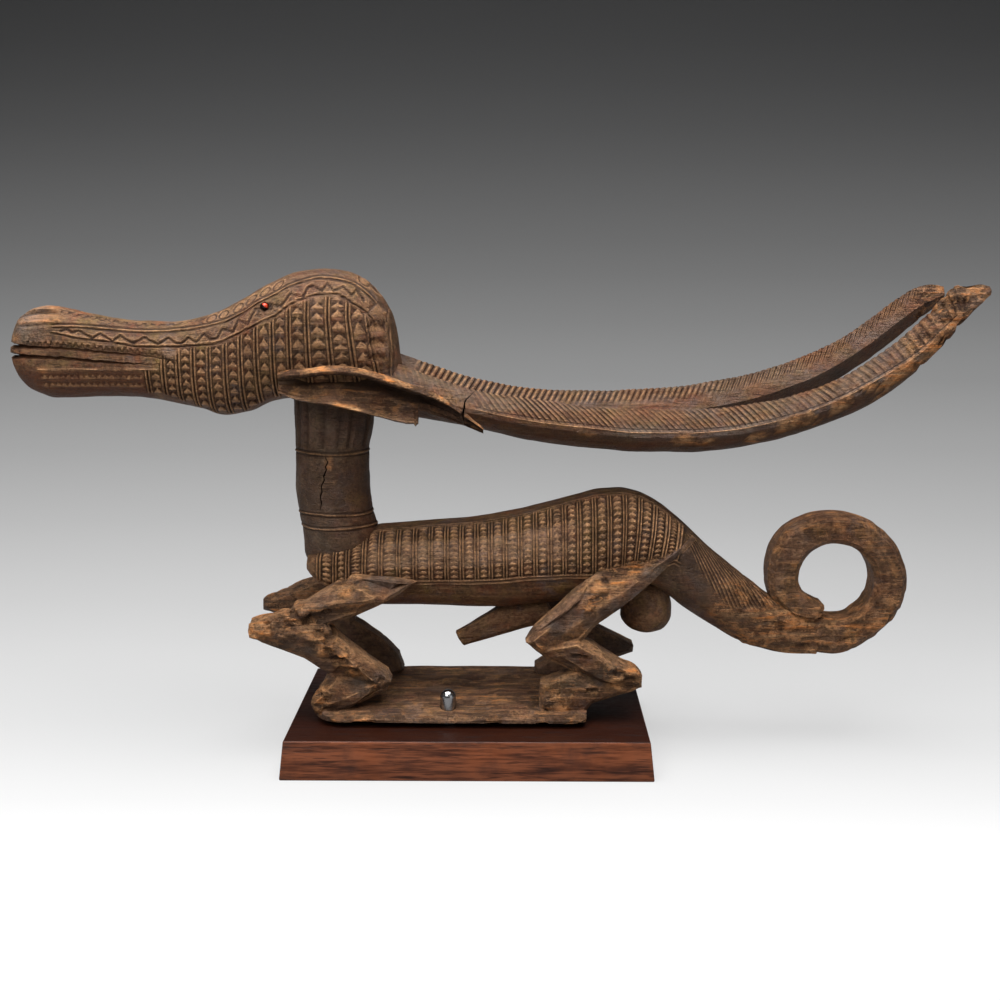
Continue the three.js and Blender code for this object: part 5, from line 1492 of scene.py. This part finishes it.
def wood_grain():
    """Fibres, pores and clouds of colour in wood whose grain runs along X."""
    group = bpy.data.node_groups.new("wood grain", "ShaderNodeTree")
    size = group.interface.new_socket("Fineness", in_out="INPUT", socket_type="NodeSocketFloat")
    size.default_value = 1.0
    given = group.nodes.new("NodeGroupInput")
    result = group.nodes.new("NodeGroupOutput")
    sized = new_node(group, "ShaderNodeVectorMath", operation="SCALE")
    group.links.new(placed(group), sized.inputs[0])
    group.links.new(given.outputs["Fineness"], sized.inputs["Scale"])
    sized = sized.outputs[0]
    pores = noise(group, mapped(group, sized, Scale=(90, 1100, 1100)), 1.0, 2.0, 0.5)
    parts = {
        "Fibres": noise(group, mapped(group, sized, Scale=(22, 330, 330)), 1.0, 4.0, 0.6),
        "Pores": ranged(group, pores, 0.56, 0.7),
        "Clouds": noise(group, sized, 34.0, 5.0, 0.6),
        "Hues": noise(group, mapped(group, sized, Location=(3.1, 1.7, 4.3)), 62.0, 4.0, 0.6),
        "Blotches": noise(group, sized, 115.0, 6.0, 0.68),
        "Specks": noise(group, sized, 430.0, 5.0, 0.7),
    }
    for name, part in parts.items():
        group.interface.new_socket(name, in_out="OUTPUT", socket_type="NodeSocketFloat")
        group.links.new(part, result.inputs[name])
    return group


grain = wood_grain()


def grained(tree, fineness):
    """Fibres, pores, clouds, hues, blotches and specks of the wood, in that order."""
    used = new_node(tree, "ShaderNodeGroup", node_tree=grain)
    used.inputs["Fineness"].default_value = fineness
    return tuple(used.outputs)


def material(name):
    made = bpy.data.materials.new(name)
    made.use_nodes = True
    made.node_tree.nodes.clear()
    shader = made.node_tree.nodes.new("ShaderNodeBsdfPrincipled")
    out = made.node_tree.nodes.new("ShaderNodeOutputMaterial")
    made.node_tree.links.new(shader.outputs[0], out.inputs["Surface"])
    return made, made.node_tree, shader


def bumped(tree, shader, height, distance, strength):
    bump = tree.nodes.new("ShaderNodeBump")
    bump.inputs["Distance"].default_value = distance
    bump.inputs["Strength"].default_value = strength
    tree.links.new(height, bump.inputs["Height"])
    tree.links.new(bump.outputs["Normal"], shader.inputs["Normal"])


def coat(obj, finish):
    obj.data.materials.clear()
    obj.data.materials.append(finish)


GLOSS = "Specular IOR Level"
DARK_WOOD = (0.040, 0.018, 0.0085)
MID_WOOD = (0.215, 0.104, 0.046)
OLIVE_WOOD = (0.225, 0.138, 0.036)
RUSSET_WOOD = (0.250, 0.066, 0.020)
LIGHT_WOOD = (0.36, 0.19, 0.090)
TAN_WOOD = (0.58, 0.31, 0.14)
PALE_WOOD = (0.66, 0.225, 0.050)
RED_WOOD = (0.120, 0.034, 0.013)
SMOKE_WOOD = (0.105, 0.108, 0.112)
GREY_WOOD = (0.150, 0.142, 0.134)
CUT_WOOD = (0.020, 0.0085, 0.0042)

old_wood, tree, shader = material("old_carved_wood")
fibres, pores, clouds, hues, blotches, specks = grained(tree, 1.0)
cut, wear_and_highlight, fresh = carried(tree, "cuts")
dark, red, grey = carried(tree, "patina_and_shade")
out, down, carved = carried(tree, "cells")
line, crest, eroded = carried(tree, "drawn")

# Painted shade and painted highlight on the chip-cut roofs and the double lines: a dark chip on each side of
# a light roof, dark feet and valleys beside light crests
turn = reckoned(tree, "FRACT", down)
fall = times(tree, turn, 1.7)
beyond = reckoned(tree, "SUBTRACT", out, fall)
in_cell = times(tree, ranged(tree, out, 1.0, 0.9), ranged(tree, out, -0.1, 0.0))
chip = times(tree, ranged(tree, beyond, 0.0, 0.08), ranged(tree, fall, 1.05, 0.95))
chip = times(tree, chip, ranged(tree, beyond, 0.12, 0.55, 1.0, 0.15))
roof = times(tree, ranged(tree, beyond, -0.04, -0.16), ranged(tree, fall, 1.2, 1.02))
crests = gap_ranged(tree, out, 1.5, 0.4, 0.2)
foot = gap_ranged(tree, out, 1.04, 0.14, 0.04)
valley = ranged(tree, out, 1.76, 1.92)

# Strokes of the horns and the tail's root, each painted as a dark cut beside a painted highlight on its lit
# edge
stroked = ranged(tree, out, -0.5, -0.9)
stroke = times(tree, gap_ranged(tree, turn, 0.5, 0.31, 0.39), stroked)
lit_side = times(tree, gap_ranged(tree, turn, 0.4, 0.21, 0.13), stroked)
# The painted shade (low) goes into the dark of the cuts, and the painted highlight (high) goes into the wear
low = times(tree, highest(tree, times(tree, chip, in_cell), foot, valley, stroke), carved)
high = times(tree, highest(tree, times(tree, roof, in_cell), crests, lit_side), carved)
low = highest(tree, low, ranged(tree, line, 0.70, 0.88))
high = highest(tree, high, ranged(tree, crest, 0.72, 0.9))
high = times(tree, high, reckoned(tree, "SUBTRACT", 1.0, low))
wear_and_highlight = scaled(tree, high, 0.75, times(tree, wear_and_highlight, 0.6), clamp=True)
cut = scaled(tree, low, 0.62, times(tree, cut, 0.7), clamp=True)

# Bare ground: brown, olive and russet wood that shows through a near black patina
cloudy = ranged(tree, clouds, 0.36, 0.66)
blotchy = ranged(tree, blotches, 0.38, 0.64)
flecks = ranged(tree, specks, 0.5, 0.68)
threads = ranged(tree, fibres, 0.42, 0.66)
middle = mixed(tree, ranged(tree, hues, 0.5, 0.66), MID_WOOD, OLIVE_WOOD)
middle = mixed(tree, ranged(tree, hues, 0.5, 0.36), middle, RUSSET_WOOD)
colour = mixed(tree, scaled(tree, blotchy, 0.65, times(tree, cloudy, 0.35)), DARK_WOOD, middle)

# Frayed and flaked wood, and layers of the grain laid bare as a dark step beside a pale one
smoked = times(tree, ranged(tree, clouds, 0.52, 0.60), ranged(tree, hues, 0.56, 0.46))
frayed_pale = times(tree, ranged(tree, fibres, 0.56, 0.66), ranged(tree, hues, 0.4, 0.6))
flaked = times(tree, ranged(tree, blotches, 0.53, 0.60), ranged(tree, hues, 0.44, 0.56))
layer = scaled(tree, fibres, 0.45, times(tree, blotches, 0.55))
dark_step = times(tree, gap_ranged(tree, layer, 0.485, 0.014, 0.004), eroded)
pale_step = times(tree, gap_ranged(tree, layer, 0.515, 0.014, 0.004), eroded)
for share, strength, tint in (
    (smoked, 0.55, SMOKE_WOOD), (threads, 0.45, LIGHT_WOOD), (flecks, 0.45, LIGHT_WOOD), (red, 0.8, RED_WOOD),
    (grey, scaled(tree, blotchy, 0.7, 0.15), GREY_WOOD), (dark, scaled(tree, cloudy, 0.5, 0.4), DARK_WOOD),
    (times(tree, eroded, ranged(tree, fibres, 0.5, 0.42)), 0.75, DARK_WOOD),
    (times(tree, eroded, frayed_pale), 0.8, PALE_WOOD),
    (times(tree, eroded, flaked), 0.45, mixed(tree, threads, PALE_WOOD, TAN_WOOD)),
    (pale_step, 0.4, TAN_WOOD), (dark_step, 0.6, CUT_WOOD),
    (wear_and_highlight, ranged(tree, blotches, 0.36, 0.56, 0.3, 1.0), mixed(tree, flecks, LIGHT_WOOD, TAN_WOOD)),
    (fresh, ranged(tree, blotches, 0.38, 0.56, 0.2, 1.0), mixed(tree, threads, TAN_WOOD, PALE_WOOD)),
    (ranged(tree, specks, 0.5, 0.34), 0.5, DARK_WOOD), (pores, 0.5, CUT_WOOD), (cut, 0.82, CUT_WOOD),
):
    colour = mixed(tree, times(tree, share, strength), colour, tint)
tree.links.new(colour, shader.inputs["Base Color"])
rough = scaled(tree, cut, 0.25, scaled(tree, specks, 0.3, 0.36))
tree.links.new(scaled(tree, fresh, 0.2, rough, clamp=True), shader.inputs["Roughness"])
height = fibres
for part, amount in (
    (pores, -0.5), (specks, 1.1), (blotches, 1.6), (times(tree, eroded, fibres), 3.0),
    (times(tree, eroded, blotches), 3.0), (dark_step, -0.6), (high, 0.35), (low, -0.45),
):
    height = scaled(tree, part, amount, height)
bumped(tree, shader, height, 0.0012, 0.9)
shader.inputs[GLOSS].default_value = 0.25
coat(figure, old_wood)
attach(figure, "root")
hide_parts("headdress")

# The eyes: one glossy red seed with a black cap pressed into the recess on each side of the head.

seed_red, tree, shader = material("red_black_seed")
along, _, up = parted(tree, placed(tree))
low = reckoned(tree, "SUBTRACT", (EYE[1] + PLATE_TOP) / 1000 + 0.0002, up)
low = scaled(tree, along, -0.9, low)
low = reckoned(tree, "ADD", low, EYE[0] / 1000 * 0.9)
spots = noise(tree, placed(tree), 900.0)
colour = mixed(tree, spots, (0.55, 0.03, 0.012), (0.8, 0.09, 0.03))
colour = mixed(tree, ranged(tree, low, -0.0001, 0.0003), colour, (0.006, 0.004, 0.004))
tree.links.new(colour, shader.inputs["Base Color"])
tree.links.new(ranged(tree, spots, 0.3, 0.7, 0.16, 0.3), shader.inputs["Roughness"])
for name, side in (("seed_near", -1), ("seed_far", 1)):
    bpy.ops.mesh.primitive_uv_sphere_add(segments=32, ring_count=20, radius=SEED_DIAMETER / 2000)
    seed = bpy.context.active_object
    seed.name = name
    bpy.ops.object.mode_set(mode="EDIT")
    bpy.ops.mesh.select_all(action="SELECT")
    bpy.ops.transform.resize(value=(1, 0.97, 0.9), center_override=(0, 0, 0))
    bpy.ops.object.mode_set(mode="OBJECT")
    seed.data.transform(eye_place(side))
    bpy.ops.object.shade_smooth()
    coat(seed, seed_red)
    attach(seed, "root")
    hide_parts("eye_near" if side < 0 else "eye_far")

# The plinth: a block of red-brown hardwood, its sides spreading a little to the foot, with its top edges
# softened by hand and an oiled finish. Its top is painted near black as a painted shadow of the figure. A
# blind hole in its top takes the steel pin.

PLINTH_SIZE = (0.258, 0.175, 0.028)
PLINTH_FLARE = 0.003
PLINTH_EDGE = 0.0011
PIN_BURIED = 0.0163

bpy.ops.mesh.primitive_cube_add(size=1, location=(0, 0, PLINTH_SIZE[2] / 2))
plinth = bpy.context.active_object
plinth.name = "plinth_block"
plinth.dimensions = PLINTH_SIZE
bpy.ops.object.transform_apply(location=True, rotation=True, scale=True)
bpy.ops.object.mode_set(mode="EDIT")
bpy.ops.mesh.select_all(action="DESELECT")
bpy.ops.object.mode_set(mode="OBJECT")
for face in plinth.data.polygons:
    face.select = face.normal.z < -0.5
bpy.ops.object.mode_set(mode="EDIT")
bpy.ops.mesh.select_mode(type="FACE")
spread = 2 * PLINTH_FLARE
bpy.ops.transform.resize(
    value=(1 + spread / PLINTH_SIZE[0], 1 + spread / PLINTH_SIZE[1], 1), center_override=(0, 0, 0),
)
bpy.ops.mesh.select_all(action="SELECT")
bpy.ops.mesh.normals_make_consistent(inside=False)
bpy.ops.object.mode_set(mode="OBJECT")
rounding = plinth.modifiers.new("edges", "BEVEL")
rounding.width = PLINTH_EDGE
rounding.segments = 3
bpy.ops.object.modifier_apply(modifier=rounding.name)
bpy.ops.mesh.primitive_cylinder_add(vertices=48, radius=PIN_HOLE_RADIUS / 1000, depth=2 * PIN_BURIED)
hole = bpy.context.active_object
hole.data.transform(Matrix.Translation((PIN_PLACE[0] / 1000, PIN_PLACE[1] / 1000, PLINTH_SIZE[2])))
work(plinth, hole, "DIFFERENCE")
pick(plinth)
bpy.ops.object.shade_smooth_by_angle(angle=math.radians(30))

red_wood, tree, shader = material("red_brown_hardwood")
fibres, pores, clouds, hues, _, specks = grained(tree, 0.5)
fine_fibres = grained(tree, 1.9)[0]
streaks = scaled(tree, fine_fibres, 0.6, times(tree, fibres, 0.4))
# Painted shadow: the faces turned up, the plinth's top, are painted near black
_, _, facing_up = parted(tree, tree.nodes.new("ShaderNodeNewGeometry").outputs["True Normal"])
colour = (0.060, 0.019, 0.010)
for share, tint in (
    (ranged(tree, streaks, 0.42, 0.58), (0.215, 0.068, 0.030)),
    (ranged(tree, clouds, 0.46, 0.66, 0.0, 0.45), (0.29, 0.078, 0.024)),
    (ranged(tree, hues, 0.5, 0.36, 0.0, 0.5), (0.050, 0.024, 0.018)),
    (ranged(tree, facing_up, 0.6, 0.95, 0.0, 0.95), (0.016, 0.0035, 0.0015)),
    (times(tree, pores, 0.7), (0.012, 0.004, 0.003)),
):
    colour = mixed(tree, share, colour, tint)
tree.links.new(colour, shader.inputs["Base Color"])
rough = ranged(tree, specks, 0.3, 0.7, 0.30, 0.46)
tree.links.new(scaled(tree, pores, 0.2, rough), shader.inputs["Roughness"])
bumped(tree, shader, scaled(tree, pores, -0.8, fibres), 0.0003, 0.5)
shader.inputs[GLOSS].default_value = 0.2
coat(plinth, red_wood)
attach(plinth, "root")
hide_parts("plinth")

# The pin: polished steel, turned with a collar that carries the foot plate and a domed end that shows
# in the plate's hole. It stands in the plinth and can be lifted out.

PIN_RADIUS = 0.00575
PIN_LOW = 0.012
COLLAR_RADIUS, COLLAR_LOW, COLLAR_HIGH = 0.0085, 0.0283, 0.0307
PIN_TOP = 0.0525
PIN_CHAMFER, COLLAR_CHAMFER = 0.0006, 0.0004

profile = [(0, PIN_LOW), (PIN_RADIUS - PIN_CHAMFER, PIN_LOW), (PIN_RADIUS, PIN_LOW + PIN_CHAMFER)]
profile += [(PIN_RADIUS, COLLAR_LOW), (COLLAR_RADIUS - COLLAR_CHAMFER, COLLAR_LOW)]
profile += [(COLLAR_RADIUS, COLLAR_LOW + COLLAR_CHAMFER), (COLLAR_RADIUS, COLLAR_HIGH - COLLAR_CHAMFER)]
profile += [(COLLAR_RADIUS - COLLAR_CHAMFER, COLLAR_HIGH), (PIN_RADIUS, COLLAR_HIGH)]
for step_number in range(13):
    turn = math.pi / 2 * step_number / 12
    profile.append((PIN_RADIUS * math.cos(turn), PIN_TOP - PIN_RADIUS + PIN_RADIUS * math.sin(turn)))
form = bpy.data.meshes.new("mounting_pin")
form.from_pydata([(max(r, 0.0), 0, h) for r, h in profile], [(i, i + 1) for i in range(len(profile) - 1)], [])
pin = bpy.data.objects.new("mounting_pin", form)
bpy.context.scene.collection.objects.link(pin)
pick(pin)
bpy.ops.object.mode_set(mode="EDIT")
bpy.ops.mesh.select_all(action="SELECT")
bpy.ops.mesh.spin(steps=48, angle=2 * math.pi, center=(0, 0, 0), axis=(0, 0, 1))
bpy.ops.mesh.select_all(action="SELECT")
bpy.ops.mesh.remove_doubles(threshold=0.00001)
bpy.ops.mesh.normals_make_consistent(inside=False)
bpy.ops.object.mode_set(mode="OBJECT")
pin.data.transform(Matrix.Translation((PIN_PLACE[0] / 1000, PIN_PLACE[1] / 1000, 0)))
bpy.ops.object.shade_smooth_by_angle(angle=math.radians(30))

steel, tree, shader = material("polished_steel")
turning_marks = noise(tree, mapped(tree, placed(tree), Scale=(120, 120, 2600)), 1.0, 2.0)
smears = noise(tree, placed(tree), 260.0)
tree.links.new(mixed(tree, smears, (0.30, 0.30, 0.31), (0.46, 0.46, 0.46)), shader.inputs["Base Color"])
tree.links.new(ranged(tree, smears, 0.3, 0.7, 0.1, 0.26), shader.inputs["Roughness"])
shader.inputs["Metallic"].default_value = 1.0
bumped(tree, shader, turning_marks, 0.00003, 0.4)
coat(pin, steel)
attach(pin, "root")
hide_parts("mount_pin")

# The studio: a pale floor that sweeps up into a backdrop going dark towards its top, soft light from large
# panels above and to the left, and the camera of the photograph. The backdrop's brightness is a painted glow
# that only the camera sees.

SWEEP = [(-2.6, 0.0), (0.2, 0.0), (1.6, 0.0), (2.4, 0.06), (3.0, 0.3), (3.4, 0.75), (3.6, 1.4), (3.7, 3.2)]
points = []
for (y0, z0), (y1, z1) in zip(SWEEP, SWEEP[1:]):
    points += [(y0 + (y1 - y0) * t, z0 + (z1 - z0) * t) for t in (0, 0.5)]
points.append(SWEEP[-1])
form = bpy.data.meshes.new("studio_sweep")
verts = [(x, y, z) for y, z in points for x in (-5, 5)]
form.from_pydata(verts, [], [(2 * i, 2 * i + 1, 2 * i + 3, 2 * i + 2) for i in range(len(points) - 1)])
sweep = bpy.data.objects.new("studio_sweep", form)
bpy.context.scene.collection.objects.link(sweep)
for face in sweep.data.polygons:
    face.use_smooth = True
paper, tree, shader = material("backdrop_paper")
_, back, up = parted(tree, placed(tree))
ramp = tree.nodes.new("ShaderNodeValToRGB")
tree.links.new(ranged(tree, scaled(tree, up, 2.0, back), -1.0, 7.0), ramp.inputs["Fac"])
stops = (
    (0.0, 0.78), (0.101, 0.77), (0.109, 0.68), (0.119, 0.618), (0.13, 0.561), (0.143, 0.515), (0.159, 0.458),
    (0.178, 0.411), (0.203, 0.374), (0.235, 0.338), (0.278, 0.315), (0.336, 0.29), (0.398, 0.253),
    (0.462, 0.212), (0.512, 0.169), (0.569, 0.131), (0.612, 0.098), (0.654, 0.074), (0.698, 0.0515),
    (0.743, 0.0335), (0.778, 0.02), (0.814, 0.0105), (0.85, 0.005), (1.0, 0.0),
)
tones = ramp.color_ramp.elements
tones[0].color = (stops[0][1], stops[0][1], stops[0][1], 1)
tones[1].color = (stops[-1][1], stops[-1][1], stops[-1][1], 1)
for at, value in stops[1:-1]:
    tones.new(at).color = (value, value, value, 1)
# Painted light: to the camera the paper glows with its ramp, darker towards the top; everything else sees a
# plain grey paper that does not glow
seen = tree.nodes.new("ShaderNodeLightPath").outputs["Is Camera Ray"]
tree.links.new(mixed(tree, seen, (0.27, 0.27, 0.27), (0.15, 0.15, 0.15)), shader.inputs["Base Color"])
tree.links.new(mixed(tree, seen, (0.0, 0.0, 0.0), ramp.outputs["Color"]), shader.inputs["Emission Color"])
shader.inputs["Emission Strength"].default_value = 1.0
shader.inputs["Roughness"].default_value = 0.9
shader.inputs[GLOSS].default_value = 0.1
sweep.data.materials.append(paper)


def panel(name, place, towards, size, power, tint=(1, 1, 1)):
    light = bpy.data.lights.new(name, "AREA")
    light.shape = "RECTANGLE"
    light.size, light.size_y = size
    light.energy = power
    light.color = tint
    obj = bpy.data.objects.new(name, light)
    bpy.context.scene.collection.objects.link(obj)
    obj.location = place
    obj.rotation_euler = (Vector(towards) - Vector(place)).to_track_quat("-Z", "Y").to_euler()
    return obj


panel("key_panel", (-0.7, -1.5, 1.35), (0.0, 0.0, 0.2), (1.0, 0.8), 17)
panel("top_panel", (-0.1, -0.2, 1.6), (0.0, 0.0, 0.1), (1.8, 1.0), 49)
panel("fill_panel", (1.5, -1.5, 0.6), (0.0, 0.0, 0.2), (1.2, 1.2), 3)
world = bpy.data.worlds.new("studio_air")
world.use_nodes = True
world.node_tree.nodes["Background"].inputs["Color"].default_value = (0.8, 0.82, 0.85, 1)
world.node_tree.nodes["Background"].inputs["Strength"].default_value = 0.12
bpy.context.scene.world = world

CAMERA_PLACE = Vector((0.034, -1.0146, 0.3646))
CAMERA_PITCH = math.radians(10.06)
CAMERA_YAW = math.radians(0.65)
view = bpy.data.cameras.new("photograph_view")
view.lens, view.sensor_width, view.clip_end = 50.0, 36.0, 50.0
camera = bpy.data.objects.new("photograph_view", view)
bpy.context.scene.collection.objects.link(camera)
camera.location = CAMERA_PLACE
camera.rotation_euler = (math.pi / 2 - CAMERA_PITCH, 0, CAMERA_YAW)
bpy.context.scene.camera = camera
bpy.context.scene.view_settings.view_transform = "Standard"
bpy.context.scene.view_settings.look = "None"
